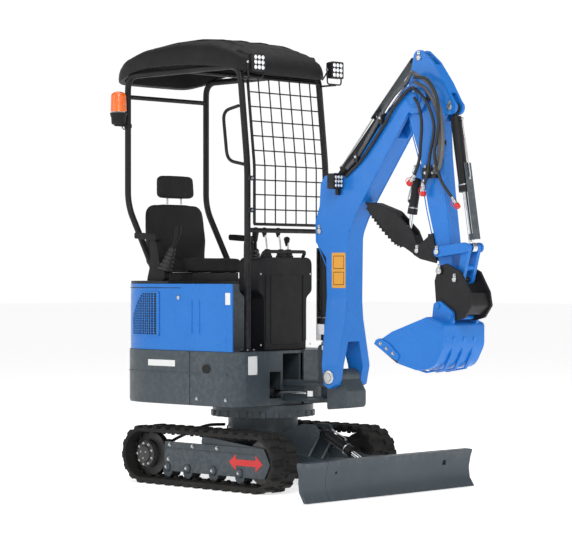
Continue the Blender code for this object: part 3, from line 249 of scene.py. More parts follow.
    def height(self, tree: bpy.types.NodeTree, place):
        """The height the bump follows; a fine noise unless a finish has its own.

        Args:
            tree: the material's nodes.
            place: socket with the position.

        Returns:
            The height socket.
        """
        return self.noise(tree, place, self.grain, 3.0)


@dataclass(frozen=True)
class Leathery(Finish):
    """A finish with the cells of moulded vinyl or leather."""

    def height(self, tree: bpy.types.NodeTree, place):
        """Cell walls of a Voronoi texture, as the base class's height."""
        node = tree.nodes.new("ShaderNodeTexVoronoi")
        node.feature = "DISTANCE_TO_EDGE"
        node.inputs["Scale"].default_value = self.grain
        tree.links.new(place, node.inputs["Vector"])
        return self.spread(tree, node.outputs["Distance"], 0.0, 0.25, 0.0, 1.0)


@dataclass(frozen=True)
class Braided(Finish):
    """A finish with crossing strands, for covered hoses."""

    def height(self, tree: bpy.types.NodeTree, place):
        """Two crossing waves, as the base class's height."""
        waves = []
        for direction in ((1.0, 1.0, 1.0), (-1.0, -1.0, 1.0)):
            turn = tree.nodes.new("ShaderNodeVectorMath")
            turn.operation = "DOT_PRODUCT"
            turn.inputs[1].default_value = tuple(self.grain * part for part in direction)
            tree.links.new(place, turn.inputs[0])
            wave = tree.nodes.new("ShaderNodeMath")
            wave.operation = "SINE"
            tree.links.new(turn.outputs["Value"], wave.inputs[0])
            waves.append(wave.outputs[0])
        top = tree.nodes.new("ShaderNodeMath")
        top.operation = "MAXIMUM"
        tree.links.new(waves[0], top.inputs[0])
        tree.links.new(waves[1], top.inputs[1])
        return top.outputs[0]


BLUE = Finish("blue enamel", (0.010, 0.150, 0.520), 0.30, 0.0, (0.016, 0.172, 0.560), 0.7, 420.0, 0.035,
              (0.06, 0.20, 0.46), 0.30, 0.12, "blue", 0.22)
SLATE = Finish("slate enamel", (0.042, 0.056, 0.067), 0.42, 0.15, (0.054, 0.068, 0.078), 0.7, 380.0, 0.08,
               (0.22, 0.23, 0.24), 0.30, 0.10, "slate", 0.3)
BLACK = Finish("black powder coat", (0.010, 0.010, 0.011), 0.42, 0.0, (0.022, 0.022, 0.024), 0.6, 600.0, 0.18,
               (0.08, 0.08, 0.08), 0.25, 0.05, "black", 0.16)
PLASTIC = Leathery("black moulded plastic", (0.010, 0.010, 0.011), 0.46, 0.0, (0.020, 0.020, 0.021), 0.5,
                   900.0, 0.25, (0.04, 0.04, 0.04), 0.1, 0.0, "black", 0.16)
RUBBER = Finish("track rubber", (0.013, 0.013, 0.013), 0.74, 0.0, (0.045, 0.040, 0.035), 0.35, 300.0, 0.45,
                (0.08, 0.075, 0.07), 0.35, 0.0, "rubber", 0.2)
HOSE = Finish("hose rubber", (0.008, 0.008, 0.008), 0.50, 0.0, (0.020, 0.020, 0.020), 0.4, 500.0, 0.2,
              slot="rubber")
BRAID = Braided("braided sleeve", (0.085, 0.087, 0.090), 0.50, 0.3, (0.240, 0.240, 0.250), 0.5, 900.0, 0.9,
                slot="rubber")
VINYL = Leathery("seat vinyl", (0.011, 0.011, 0.012), 0.50, 0.0, (0.022, 0.022, 0.023), 0.5, 520.0, 0.5,
                 slot="vinyl", shine=0.16)
STITCH = Finish("seam cord", (0.030, 0.030, 0.031), 0.7, 0.0, (0.05, 0.05, 0.05), 0.5, 900.0, 0.5,
                slot="vinyl")
CHROME = Finish("plated rod", (0.68, 0.69, 0.70), 0.10, 1.0, (0.55, 0.56, 0.58), 0.4, 900.0, 0.02,
                slot="steel")
ZINC = Finish("zinc plated steel", (0.50, 0.51, 0.52), 0.30, 1.0, (0.36, 0.37, 0.39), 0.6, 300.0, 0.12,
              slot="steel")
IRON = Finish("oiled casting", (0.040, 0.040, 0.042), 0.48, 0.5, (0.075, 0.070, 0.065), 0.7, 220.0, 0.5,
              (0.2, 0.2, 0.2), 0.3, 0.0, "iron")
AMBER = Finish("amber lens", (0.85, 0.13, 0.010), 0.16, 0.0, (0.95, 0.22, 0.02), 0.6, 60.0, 0.03, coat=0.6,
               slot="amber")
RED = Finish("red cap", (0.60, 0.012, 0.010), 0.35, 0.0, (0.45, 0.01, 0.01), 0.5, 500.0, 0.1, slot="amber")
CLEAR = Finish("lamp lens", (0.80, 0.82, 0.84), 0.08, 0.35, (0.92, 0.93, 0.95), 0.6, 700.0, 0.3, coat=0.8,
               slot="steel")
PALE = Finish("pale label film", (0.70, 0.71, 0.70), 0.40, 0.0, (0.60, 0.61, 0.60), 0.4, 300.0, 0.03,
              slot="steel")
YELLOW = Finish("amber label film", (0.66, 0.30, 0.020), 0.38, 0.0, (0.60, 0.27, 0.02), 0.4, 300.0, 0.03,
                slot="amber")
# Flat black: painted shade in the air intakes, the skirt holes and the door's slots; also the seam lines and
# the label frames.
SHADE_SEAM_AND_PRINT_BLACK = Finish("painted shade, seam and print black", (0.004, 0.004, 0.005), 0.85, 0.0, (0.008, 0.008, 0.008), 0.5, 300.0, 0.3,
              slot="black")


# ------------------------------------------------------------------ paths and outlines


def flowing(points: list[Point], per: int = 8) -> list[Vector]:
    """A smooth curve through points.

    Args:
        points: the points it passes through.
        per: samples between two points.

    Returns:
        The samples.
    """
    spots = [Vector(p) for p in points]
    spots = [spots[0] * 2 - spots[1], *spots, spots[-1] * 2 - spots[-2]]
    path = []
    for a, b, c, d in zip(spots, spots[1:], spots[2:], spots[3:]):
        for step in range(per):
            t = step / per
            path.append(0.5 * (2 * b + (c - a) * t + (2 * a - 5 * b + 4 * c - d) * t * t
                               + (3 * b - a - 3 * c + d) * t ** 3))
    path.append(spots[-2])
    return path


def bent(points: list[Point], radius: float, steps: int = 7) -> list[Vector]:
    """Straight runs joined by round bends.

    Args:
        points: the corners.
        radius: how far from a corner its bend starts.
        steps: samples on each bend.

    Returns:
        The path.
    """
    spots = [Vector(p) for p in points]
    path = [spots[0]]
    for before, corner, after in zip(spots, spots[1:], spots[2:]):
        back = before - corner
        ahead = after - corner
        reach = min(radius, back.length * 0.48, ahead.length * 0.48)
        first = corner + back.normalized() * reach
        last = corner + ahead.normalized() * reach
        for step in range(steps + 1):
            t = step / steps
            path.append(first * (1 - t) ** 2 + corner * 2 * t * (1 - t) + last * t * t)
    path.append(spots[-1])
    return path


def softened(corners: list[Flat], radius: float, steps: int = 5) -> list[Flat]:
    """A closed outline with each corner rounded.

    Args:
        corners: the outline.
        radius: how far from a corner its curve starts.
        steps: samples on each corner.

    Returns:
        The rounded outline.
    """
    count = len(corners)
    result = []
    for index, spot in enumerate(corners):
        corner = Vector(spot)
        back = Vector(corners[index - 1]) - corner
        ahead = Vector(corners[(index + 1) % count]) - corner
        reach = min(radius, back.length * 0.48, ahead.length * 0.48)
        first = corner + back.normalized() * reach
        last = corner + ahead.normalized() * reach
        for step in range(steps + 1):
            t = step / steps
            result.append(tuple(first * (1 - t) ** 2 + corner * 2 * t * (1 - t) + last * t * t))
    return result


def ring(middle: Flat, radius: float, sides: int = 24, start: float = 0.0, turn: float = 360.0) -> list[Flat]:
    """Points on a circle or an arc.

    Args:
        middle: its centre.
        radius: its radius.
        sides: how many points.
        start: first angle in degrees.
        turn: angle covered.

    Returns:
        The points.
    """
    step = turn / sides if turn >= 360 else turn / (sides - 1)
    angles = [math.radians(start + step * n) for n in range(sides)]
    return [(middle[0] + radius * math.cos(a), middle[1] + radius * math.sin(a)) for a in angles]


# ------------------------------------------------------------------ pieces


class Piece:
    """One visible object, built up in the machine's own frame round the slew axis."""

    def __init__(self, name: str, *finishes: Finish) -> None:
        """Start an empty piece.

        Args:
            name: the object's name.
            finishes: its finishes; shapes pick one by index.
        """
        self.name = name
        self.finishes = finishes
        self.mesh = bmesh.new()
        self.paint = 0

    def use(self, index: int) -> "Piece":
        """Pick the finish of the next shapes."""
        self.paint = index
        return self

    def face(self, corners: list[bmesh.types.BMVert]) -> None:
        """Add one face with the current finish."""
        made = self.mesh.faces.new(corners)
        made.material_index = self.paint
        made.smooth = True

    def skin(self, loops: list[list[Vector]], closed: bool = False) -> "Piece":
        """Join equal loops into one closed solid.

        Args:
            loops: rings of points, all the same length.
            closed: whether the last loop joins the first.

        Returns:
            The piece.
        """
        rows = [[self.mesh.verts.new(p) for p in loop] for loop in loops]
        pairs = list(zip(rows, rows[1:])) + ([(rows[-1], rows[0])] if closed else [])
        for low, high in pairs:
            count = len(low)
            for index in range(count):
                after = (index + 1) % count
                self.face([low[index], low[after], high[after], high[index]])
        if not closed:
            self.face(list(reversed(rows[0])))
            self.face(rows[-1])
        return self

    def sweep(self, path: list[Vector], radius: float, sides: int = 12, closed: bool = False,
              radii: list[float] | None = None) -> "Piece":
        """A round bar or hose along a path.

        Args:
            path: its centreline.
            radius: its radius.
            sides: points round it.
            closed: whether it joins up.
            radii: a radius for each point, if it varies.

        Returns:
            The piece.
        """
        count = len(path)
        sides_of = []
        for index in range(count):
            before = path[index - 1] if index or closed else path[0]
            after = path[(index + 1) % count] if index + 1 < count or closed else path[-1]
            sides_of.append((after - before).normalized())
        first = sides_of[0]
        side = first.orthogonal().normalized()
        loops = []
        for index, (spot, along) in enumerate(zip(path, sides_of)):
            side = (side - along * side.dot(along)).normalized()
            up = along.cross(side)
            size = radii[index] if radii else radius
            angles = [2 * math.pi * n / sides for n in range(sides)]
            loops.append([spot + (side * math.cos(a) + up * math.sin(a)) * size for a in angles])
        return self.skin(loops, closed)

    def turned(self, start: Point, axis: Point, profile: list[Flat], sides: int = 24) -> "Piece":
        """A lathed solid.

        Args:
            start: origin of the profile.
            axis: direction of the lathe's axis.
            profile: pairs of distance along the axis and radius.
            sides: points round it.

        Returns:
            The piece.
        """
        along = Vector(axis).normalized()
        side = along.orthogonal().normalized()
        up = along.cross(side)
        angles = [2 * math.pi * n / sides for n in range(sides)]
        loops = []
        for distance, radius in profile:
            middle = Vector(start) + along * distance
            loops.append([middle + (side * math.cos(a) + up * math.sin(a)) * max(radius, 1e-4)
                          for a in angles])
        return self.skin(loops)

    def slab(self, outline: list[Flat], low: float, high: float, plane: Plane = Plane.SIDE) -> "Piece":
        """An extruded outline.

        Args:
            outline: its corners in the plane.
            low: start along the third axis.
            high: end along the third axis.
            plane: the plane it is drawn in.

        Returns:
            The piece.
        """
        def at(spot: Flat, depth: float) -> Vector:
            """Place a corner of the outline in space."""
            if plane is Plane.SIDE:
                return Vector((depth, spot[0], spot[1]))
            if plane is Plane.FRONT:
                return Vector((spot[0], depth, spot[1]))
            return Vector((spot[0], spot[1], depth))

        return self.skin([[at(p, low) for p in outline], [at(p, high) for p in outline]])

    def block(self, low: Point, high: Point) -> "Piece":
        """A box between two corners."""
        outline = [(low[1], low[2]), (high[1], low[2]), (high[1], high[2]), (low[1], high[2])]
        return self.slab(outline, low[0], high[0])

    def bolt(self, place: Point, axis: Point, radius: float = 0.007) -> "Piece":
        """A hexagon head on a washer.

        Args:
            place: where the washer sits.
            axis: direction the head points.
            radius: across the head's corners, halved.

        Returns:
            The piece.
        """
        self.turned(place, axis, [(-0.0005, radius * 1.25), (radius * 0.22, radius * 1.25)], 18)
        head = [(radius * 0.2, radius), (radius * 0.8, radius), (radius * 0.95, radius * 0.82)]
        return self.turned(place, axis, head, 6)

    def pin(self, place: Flat, x: float, radius: float, side: int) -> "Piece":
        """A pin's end with its keeper plate and screw, on the outside of a plate.

        Args:
            place: the pin's (y, z).
            x: outer face of the plate.
            radius: the pin's radius.
            side: -1 or 1, the side it faces.

        Returns:
            The piece.
        """
        y, z = place
        edge = [(-0.001, radius), (0.006, radius), (0.0075, radius * 0.86), (0.0078, 0.0)]
        self.turned((x, y, z), (side, 0, 0), edge, 24)
        plate = softened([(y - 0.008, z - 0.004), (y + 0.008, z - 0.004), (y + 0.008, z + radius + 0.016),
                          (y - 0.008, z + radius + 0.016)], 0.004, 3)
        self.slab(plate, *sorted((x, x + side * 0.003)))
        return self.bolt((x + side * 0.003, y, z + radius + 0.009), (side, 0, 0), 0.0045)

    def done(self, body: str, bevel: float = 0.0, sharp: float = 38.0, rounds: int = 0,
             replaces: tuple[str, ...] = ()) -> bpy.types.Object:
        """Finish the object and hang it on its body.

        Args:
            body: the CAD body it rides on.
            bevel: width of the bevel on sharp edges.
            sharp: angle above which an edge stays sharp, in degrees.
            rounds: levels of subdivision.
            replaces: CAD nodes it stands for.

        Returns:
            The object.
        """
        bmesh.ops.recalc_face_normals(self.mesh, faces=self.mesh.faces)
        for edge in self.mesh.edges:
            edge.smooth = not edge.is_manifold or edge.calc_face_angle(0.0) < math.radians(sharp)
        name = self.name.replace(" ", "_")
        data = bpy.data.meshes.new(name)
        self.mesh.to_mesh(data)
        self.mesh.free()
        data.transform(Matrix.Translation(SHIFT))
        for finish in self.finishes:
            data.materials.append(finish.material())
        item = bpy.data.objects.new(name, data)
        bpy.context.scene.collection.objects.link(item)
        dress_edges(item, bevel, sharp, rounds)
        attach(item, body)
        if replaces:
            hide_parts(*replaces)
        LOG.info("%s: %d faces on %s", self.name, len(data.polygons), body)
        return item


def dress_edges(item: bpy.types.Object, bevel: float, sharp: float, rounds: int) -> None:
    """Add an object's subdivision and bevel.

    Args:
        item: the object.
        bevel: width of the bevel, or 0.
        sharp: angle above which an edge is bevelled, in degrees.
        rounds: levels of subdivision.
    """
    if rounds:
        soft = item.modifiers.new("soft", "SUBSURF")
        soft.levels = rounds
        soft.render_levels = rounds
    if bevel:
        edge = item.modifiers.new("edges", "BEVEL")
        edge.width = bevel
        edge.segments = 2
        edge.limit_method = "ANGLE"
        edge.angle_limit = math.radians(sharp)
        edge.harden_normals = True
        edge.use_clamp_overlap = True


def dressed(node: str, body: str, finish: Finish, bevel: float = 0.0015,
            sharp: float = 32.0) -> bpy.types.Object:
    """The visible skin of a CAD piece, with rounded edges and smooth round faces.

    Args:
        node: the CAD node.
        body: the body it rides on.
        finish: its finish.
        bevel: width of its rounded edges.
        sharp: angle above which an edge is rounded, in degrees.

    Returns:
        The object.
    """
    skin = bmesh.new()
    skin.from_mesh(frame["nodes"][node].data)
    bmesh.ops.remove_doubles(skin, verts=skin.verts, dist=2e-5)
    bmesh.ops.dissolve_limit(skin, angle_limit=math.radians(0.6), verts=skin.verts, edges=skin.edges)
    for face in skin.faces:
        face.smooth = True
        face.material_index = 0
    for edge in skin.edges:
        edge.smooth = edge.calc_face_angle(0.0) < math.radians(sharp)
    data = bpy.data.meshes.new(node + "_skin")
    skin.to_mesh(data)
    skin.free()
    data.materials.append(finish.material())
    item = bpy.data.objects.new(node + "_skin", data)
    bpy.context.scene.collection.objects.link(item)
    dress_edges(item, bevel, sharp, 0)
    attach(item, body)
    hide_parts(node)
    LOG.info("%s: dressed in %s", node, finish.name)
    return item


# ------------------------------------------------------------------ undercarriage


@dataclass
class Track:
    """One rubber track with its rollers, sprocket and side plate.

    Attributes:
        side: -1 for the machine's right, 1 for its left.
        outer: X of its outer edge.
        width: width of the belt.
        front: Y of the idler.
        rear: Y of the sprocket.
        radius: outer radius of the belt.
        lugs: how many tread bars.
    """

    side: int
    outer: float = 0.450
    width: float = 0.180
    front: float = -0.380
    rear: float = 0.450
    radius: float = 0.150
    lugs: int = 37

    def name(self) -> str:
        """The side as a word."""
        return "left" if self.side > 0 else "right"

    def along(self, distance: float) -> tuple[Vector, Vector]:
        """A point of the belt's middle line and its outward direction, as (y, z).

        Args:
            distance: how far round the loop.

        Returns:
            The point on the circle centres' line offset by the radius, and the normal.
        """
        run = self.rear - self.front
        bend = math.pi * self.radius
        distance %= 2 * (run + bend)
        if distance < run:
            return Vector((self.front + distance, self.radius)), Vector((0, -1))
        distance -= run
        if distance < bend:
            angle = -math.pi / 2 + distance / self.radius
            return Vector((self.rear, self.radius)), Vector((math.cos(angle), math.sin(angle)))
        distance -= bend
        if distance < run:
            return Vector((self.rear - distance, self.radius)), Vector((0, 1))
        angle = math.pi / 2 + (distance - run) / self.radius
        return Vector((self.front, self.radius)), Vector((math.cos(angle), math.sin(angle)))

    def spot(self, distance: float, radius: float, x: float) -> Vector:
        """A point of the loop at a radius and an X."""
        middle, out = self.along(distance)
        place = middle + out * radius
        return Vector((x, place.x, place.y))

    def lug(self, belt: Piece, start: float, length: float, low_x: float, high_x: float,
            height: float) -> None:
        """One tapered tread bar.

        Args:
            belt: the piece it joins.
            start: distance of its middle round the loop.
            length: its length at the foot.
            low_x: inner end.
            high_x: outer end.
            height: radius of its top.
        """
        foot = self.radius - 0.017
        rows = []
        for radius, share, inset in ((foot, 1.0, 0.0), (height - 0.004, 0.72, 0.003), (height, 0.58, 0.007)):
            half = length * share / 2
            rows.append([self.spot(start - half, radius, low_x + inset),
                         self.spot(start + half, radius, low_x + inset),
                         self.spot(start + half, radius, high_x - inset),
                         self.spot(start - half, radius, high_x - inset)])
        belt.skin(rows)

    def belt(self) -> None:
        """The rubber belt with its tread and drive lugs."""
        belt = Piece("track belt " + self.name(), RUBBER, IRON)
        loop = 2 * (self.rear - self.front + math.pi * self.radius)
        low, high = sorted((self.side * self.outer, self.side * (self.outer - self.width)))
        section = [(0.118, low + 0.004), (0.136, low), (0.136, high), (0.118, high - 0.004)]
        loops = []
        for step in range(120):
            distance = loop * step / 120
            loops.append([self.spot(distance, radius, x) for radius, x in section])
        belt.skin(loops, True)
        middle = (low + high) / 2
        pitch = loop / self.lugs
        for count in range(self.lugs):
            here = count * pitch
            self.lug(belt, here, pitch * 0.62, low + 0.001, middle - 0.014, self.radius)
            self.lug(belt, here + pitch * 0.5, pitch * 0.62, middle + 0.014, high - 0.001, self.radius)
            self.lug(belt, here + pitch * 0.25, pitch * 0.34, middle - 0.024, middle + 0.024,
                     self.radius - 0.003)
            for x in (middle - 0.018, middle + 0.018):
                rows = []
                for radius, half in ((0.120, 0.013), (0.104, 0.008)):
                    rows.append([self.spot(here - half, radius, x - 0.006),
                                 self.spot(here - half, radius, x + 0.006),
                                 self.spot(here + half, radius, x + 0.006),
                                 self.spot(here + half, radius, x - 0.006)])
                belt.skin(rows)
        belt.done("undercarriage", 0.0012, 30.0, replaces=("track_" + self.name(),))

    def plate(self) -> None:
        """Bolts and the blank arrow on the side plate."""
        x = self.side * 0.3852
        face = (self.side, 0, 0)
        trim = Piece("track frame fittings " + self.name(), ZINC, RED, SLATE, PALE)
        for y, z in ((-0.060, 0.205), (0.120, 0.205), (0.290, 0.205), (0.300, 0.130)):
            trim.use(0).bolt((x, y, z), face, 0.0085)
        for y in (-0.22, -0.03, 0.16, 0.31):
            boss = [(0, 0.024), (0.006, 0.024), (0.009, 0.020)]
            trim.use(2).turned((x - self.side * 0.001, y, 0.090), face, boss, 24)
            trim.use(0).bolt((x + self.side * 0.008, y, 0.090), face, 0.0075)
        arrow = [(-0.385, 0.1450), (-0.340, 0.1800), (-0.340, 0.1580), (-0.215, 0.1580), (-0.215, 0.1800),
                 (-0.170, 0.1450), (-0.215, 0.1100), (-0.215, 0.1320), (-0.340, 0.1320), (-0.340, 0.1100)]
        arrow = [(-0.265 + (y + 0.2775) * 1.10, 0.143 + (z - 0.145) * 1.20) for y, z in arrow]
        trim.use(1).slab(arrow, *sorted((x, x + self.side * 0.0009)))
        seam = softened([(-0.330, 0.183), (0.330, 0.183), (0.330, 0.187), (-0.330, 0.187)], 0.001, 2)
        trim.use(2).slab(seam, *sorted((x - self.side * 0.001, x + self.side * 0.0035)))
        trim.done("undercarriage", 0.0006)

    def wheels(self) -> None:
        """Hub cap and bolt circles of the sprocket."""
        trim = Piece("wheel hubs " + self.name(), IRON, ZINC, SLATE)
        x = self.side * 0.4005
        face = (self.side, 0, 0)
        hub = [(0.0, 0.066), (0.010, 0.066), (0.014, 0.060), (0.014, 0.046), (0.024, 0.042), (0.026, 0.036),
               (0.026, 0.0)]
        trim.use(0).turned((x, self.rear, self.radius), face, hub, 40)
        for spot in ring((self.rear, self.radius), 0.055, 9):
            trim.use(1).bolt((x + self.side * 0.0135, *spot), face, 0.0058)
        for spot in ring((self.rear, self.radius), 0.022, 3, 30):
            trim.use(1).bolt((x + self.side * 0.0255, *spot), face, 0.0040)
        trim.done("undercarriage", 0.0008)

    def build(self) -> None:
        """Build the belt, the plate's fittings and the hubs."""
        self.belt()
        self.plate()
        self.wheels()
        dressed("track_frame_" + self.name(), "undercarriage", SLATE, 0.0020)
        dressed("sprocket_" + self.name(), "undercarriage", IRON, 0.0015)
        dressed("idler_" + self.name(), "undercarriage", IRON, 0.0020)


@dataclass
class CarBody:
    """The middle of the undercarriage: pedestal, slew ring and their bolts."""

    def build(self) -> None:
        """Dress the castings and add bolts and grease hoses."""
        dressed("car_body", "undercarriage", SLATE, 0.0025)
        dressed("slew_ring", "undercarriage", SLATE, 0.0008)
        trim = Piece("pedestal fittings", ZINC, HOSE, IRON)
        for side in (-1, 1):
            for y in (-0.10, 0.04, 0.16):
                trim.use(0).bolt((side * 0.3355, y, 0.165), (side, 0, 0), 0.009)
            line = flowing([(side * 0.10, 0.18, 0.300), (side * 0.20, 0.22, 0.295),
                            (side * 0.27, 0.33, 0.240), (side * 0.29, 0.43, 0.190)])
            trim.use(1).sweep(line, 0.008)
        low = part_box("car_body")[0]
        LOG.info("car body starts at %.3f", low.z)
        trim.done("undercarriage", 0.0006)


@dataclass
class Blade:
    """The dozer blade with its folding wings.

    Attributes:
        half: half width of the middle plate.
    """

    half: float = 0.450

    def build(self) -> None:
        """Dress the blade and add its hinges and bolts."""
        for node in ("blade", "blade_wing_left", "blade_wing_right"):
            dressed(node, "blade", SLATE, 0.0022)
        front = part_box("blade_wing_left")[0].y - SLEW_Y
        trim = Piece("blade fittings", ZINC, SLATE, SHADE_SEAM_AND_PRINT_BLACK)
        for side in (-1, 1):
            x = side * self.half
            trim.use(1).turned((x, front + 0.055, 0.030), (0, 0, 1), [(0, 0.008), (0.052, 0.008)], 16)
            trim.turned((x, front + 0.055, 0.120), (0, 0, 1), [(0, 0.008), (0.052, 0.008)], 16)
        for x in (-0.16, 0.0, 0.16):
            trim.use(0).bolt((x, front + 0.0645, 0.160), (0, 1, 0), 0.008)
        for side in (-1, 1):
            trim.use(0).bolt((side * 0.2125, -0.290, 0.150), (side, 0, 0), 0.012)
        trim.done("blade", 0.0006)


# ------------------------------------------------------------------ house


@dataclass
class House:
    """Counterweight, skirts, hood and what is fixed to them.

    Attributes:
        half: half width of the hood.
        bend: Y where the tail starts to curve.
        rear: Y of the rearmost point.
        power: power of the tail's curve.
    """

    half: float = 0.405
    bend: float = 0.285
    rear: float = 0.735
    power: float = 3.6

    def patch(self, piece: Piece, start: float, end: float, low: float, high: float, side: int,
              lift: float = 0.0012, half: float | None = None) -> None:
        """A thin panel that follows the side and the tail.

        Args:
            piece: the piece it joins.
            start: share of the tail's curve where it starts, 0 at the side; negative runs forward in metres.
            end: share where it ends.
            low: its lower edge.
            high: its upper edge.
            side: -1 or 1.
            lift: how far it stands proud.
            half: half width of the surface under it.
        """
        half = half or self.half
        samples = 14
        inner, outer = [], []
        for step in range(samples + 1):
            share = start + (end - start) * step / samples
            if share <= 0:
                spot, out = Vector((half, self.bend + share)), Vector((1.0, 0.0))
            else:
                spot, out = self.curve(share, half)
            inner.append(spot - out * 0.003)
            outer.append(spot + out * lift)
        loops = []
        for a, b in zip(inner, outer):
            loops.append([Vector((side * a.x, a.y, low)), Vector((side * b.x, b.y, low)),
                          Vector((side * b.x, b.y, high)), Vector((side * a.x, a.y, high))])
        piece.skin(loops)

    def curve(self, share: float, half: float) -> tuple[Vector, Vector]:
        """A point of the tail's curve and its outward direction.

        Args:
            share: 0 at the side and 1 at the middle of the rear.
            half: half width.

        Returns:
            The point and the direction, in plan.
        """
        def at(value: float) -> Vector:
            """The curve at a share."""
            angle = math.pi / 2 * min(max(value, 0.0), 1.0)
            x = half * abs(math.cos(angle)) ** (2 / self.power)
            return Vector((x, self.bend + (self.rear - self.bend) * abs(math.sin(angle)) ** (2 / self.power)))

        run = at(share + 0.01) - at(share - 0.01)
        return at(share), Vector((run.y, -run.x)).normalized()

    def vents(self) -> None:
        """The meshed air intakes at both rear corners."""
        mesh = Piece("air intakes", SHADE_SEAM_AND_PRINT_BLACK, BLUE)
        start, wide, narrow, low, high = 0.030, 0.300, 0.150, 0.766, 0.984

        def reach(z: float) -> float:
            """Share where the intake ends at a height; it narrows upwards."""
            return wide - (wide - narrow) * min(1.0, max(0.0, (z - 0.850) / 0.125)) ** 1.2

        rows = 17
        for side in (-1, 1):
            for row in range(rows):
                z = low + (high - low) * row / rows
                step = (high - low) / rows
                # Painted shade: a black band behind each row of mesh stands in for the shaded inside of the
                # intake.
                self.patch(mesh.use(0), start, reach(z), z, z + step, side, 0.0006)
                self.patch(mesh.use(1), start, reach(z), z - 0.0013, z + 0.0013, side, 0.0018)
                self.patch(mesh, reach(z) - 0.004, reach(z) + 0.008, z, z + step + 0.003, side, 0.0036)
            for count in range(15):
                share = start + (wide - start) * count / 14
                fall = max(0.0, (wide - share) / (wide - narrow))
                top = high if share < narrow else 0.850 + 0.125 * fall ** 0.83
                self.patch(mesh, share - 0.0026, share + 0.0026, low, top, side, 0.0022)
            self.patch(mesh, start - 0.010, start, low - 0.004, high + 0.004, side, 0.0036)
            self.patch(mesh, start - 0.010, wide + 0.006, low - 0.005, low + 0.002, side, 0.0036)
            self.patch(mesh, start - 0.010, narrow + 0.010, high - 0.002, high + 0.005, side, 0.0036)
        mesh.done("house")

    def trims(self) -> None:
        """Lock, side recesses, blank label, seams and the skirt's crease."""
        trim = Piece("hood trims", BLUE, SHADE_SEAM_AND_PRINT_BLACK, ZINC, PALE)
        for side in (-1, 1):
            if side < 0:
                for y in (0.055, 0.110):
                    outline = softened([(y - 0.011, 0.775), (y + 0.011, 0.775), (y + 0.011, 0.950),
                                        (y - 0.011, 0.950)], 0.008)
                    trim.use(0).slab(outline, *sorted((side * 0.4035, side * 0.4064)))
                    inner = softened([(y - 0.007, 0.781), (y + 0.007, 0.781), (y + 0.007, 0.944),
                                      (y - 0.007, 0.944)], 0.005)
                    trim.use(0).slab(inner, *sorted((side * 0.4040, side * 0.4085)))
                trim.use(2).turned((side * 0.405, 0.205, 0.960), (side, 0, 0),
                                   [(-0.001, 0.011), (0.003, 0.011), (0.0045, 0.009), (0.0045, 0.0)], 24)
                label = softened([(-0.175, 0.925), (-0.140, 0.925), (-0.140, 0.985), (-0.175, 0.985)], 0.004)
                trim.use(3).slab(label, *sorted((side * 0.4048, side * 0.4056)))
            self.patch(trim.use(1), -0.10 if side < 0 else 0.02, 0.46, 1.0075, 1.0105, side, 0.0006)
        trim.done("house", 0.0004)

        skirt = Piece("skirt trims", SLATE, SHADE_SEAM_AND_PRINT_BLACK, ZINC, PALE)
        for side in (-1, 1):
            self.patch(skirt.use(0), -0.44, 0.96, 0.573, 0.580, side, 0.0030, 0.410)
            self.patch(skirt.use(1), -0.1715, -0.1685, 0.416, 0.689, side, 0.0008, 0.410)
            # Painted shade: the black oval inside the slate rim stands in for the shaded inside of the
            # skirt's hole.
            hole = [(-0.010 + y, 0.602 + z) for y, z in ring((0, 0), 0.024, 28)]
            wide = [(-0.010 + (y + 0.010) * 1.35, z) for y, z in hole]
            rim = [(-0.010 + (y + 0.010) * 1.18, 0.602 + (z - 0.602) * 1.18) for y, z in wide]
            skirt.use(0).slab(rim, *sorted((side * 0.4085, side * 0.4118)))
            skirt.use(1).slab(wide, *sorted((side * 0.4090, side * 0.4124)))
            self.patch(skirt.use(3), -0.060, 0.085, 0.608, 0.640, side, 0.0008, 0.410)
            for y in (-0.150, 0.060):
                skirt.use(2).bolt((side * 0.4105, y, 0.450), (side, 0, 0), 0.008)
        skirt.done("house", 0.0005)

    def window(self) -> None:
        """The blank plate at the front of the floor, with its four screw heads."""
        front = Piece("front window", CHROME, PALE, SHADE_SEAM_AND_PRINT_BLACK, ZINC)
        plate = softened([(-0.325, 0.575), (-0.262, 0.575), (-0.262, 0.668), (-0.325, 0.668)], 0.005)
        front.use(1).slab(plate, -0.2222, -0.2204, Plane.FRONT)
        for x, z in ((-0.319, 0.581), (-0.268, 0.581), (-0.319, 0.662), (-0.268, 0.662)):
            front.use(3).turned((x, -0.222, z), (0, -1, 0), [(0, 0.0028), (0.0012, 0.0022), (0.0014, 0.0)],
                                12)
        front.done("house", 0.0003)

    def build(self) -> None:
        """Dress every piece of the house."""
        for node in ("counterweight", "side_skirt_left", "side_skirt_right"):
            dressed(node, "house", SLATE, 0.0030, 28.0)
        dressed("platform", "house", SLATE, 0.0015)
        dressed("engine_hood", "house", BLUE, 0.0030, 28.0)
        dressed("rear_door", "rear_door", BLUE, 0.0020, 28.0)
        dressed("seat_deck", "house", BLACK, 0.0030, 28.0)
        dressed("engine_block", "house", IRON, 0.0040)
        self.vents()
        self.trims()
        self.window()
        door = Piece("rear door trims", SHADE_SEAM_AND_PRINT_BLACK, ZINC, BLUE)
        # Painted shade: six black slots stand in for the shaded openings of the door's vents.
        for step in range(6):
            z = 0.800 + step * 0.022
            slot = softened([(-0.110, z), (0.110, z), (0.110, z + 0.009), (-0.110, z + 0.009)], 0.004)
            door.use(0).slab(slot, self.rear - 0.004, self.rear + 0.0006, Plane.FRONT)
        lock = [(-0.001, 0.013), (0.003, 0.013), (0.005, 0.010), (0.005, 0.0)]
        door.use(1).turned((-0.170, self.rear - 0.002, 0.900), (0, 1, 0), lock, 24)
        door.done("rear_door", 0.0003)


# ------------------------------------------------------------------ operator's place


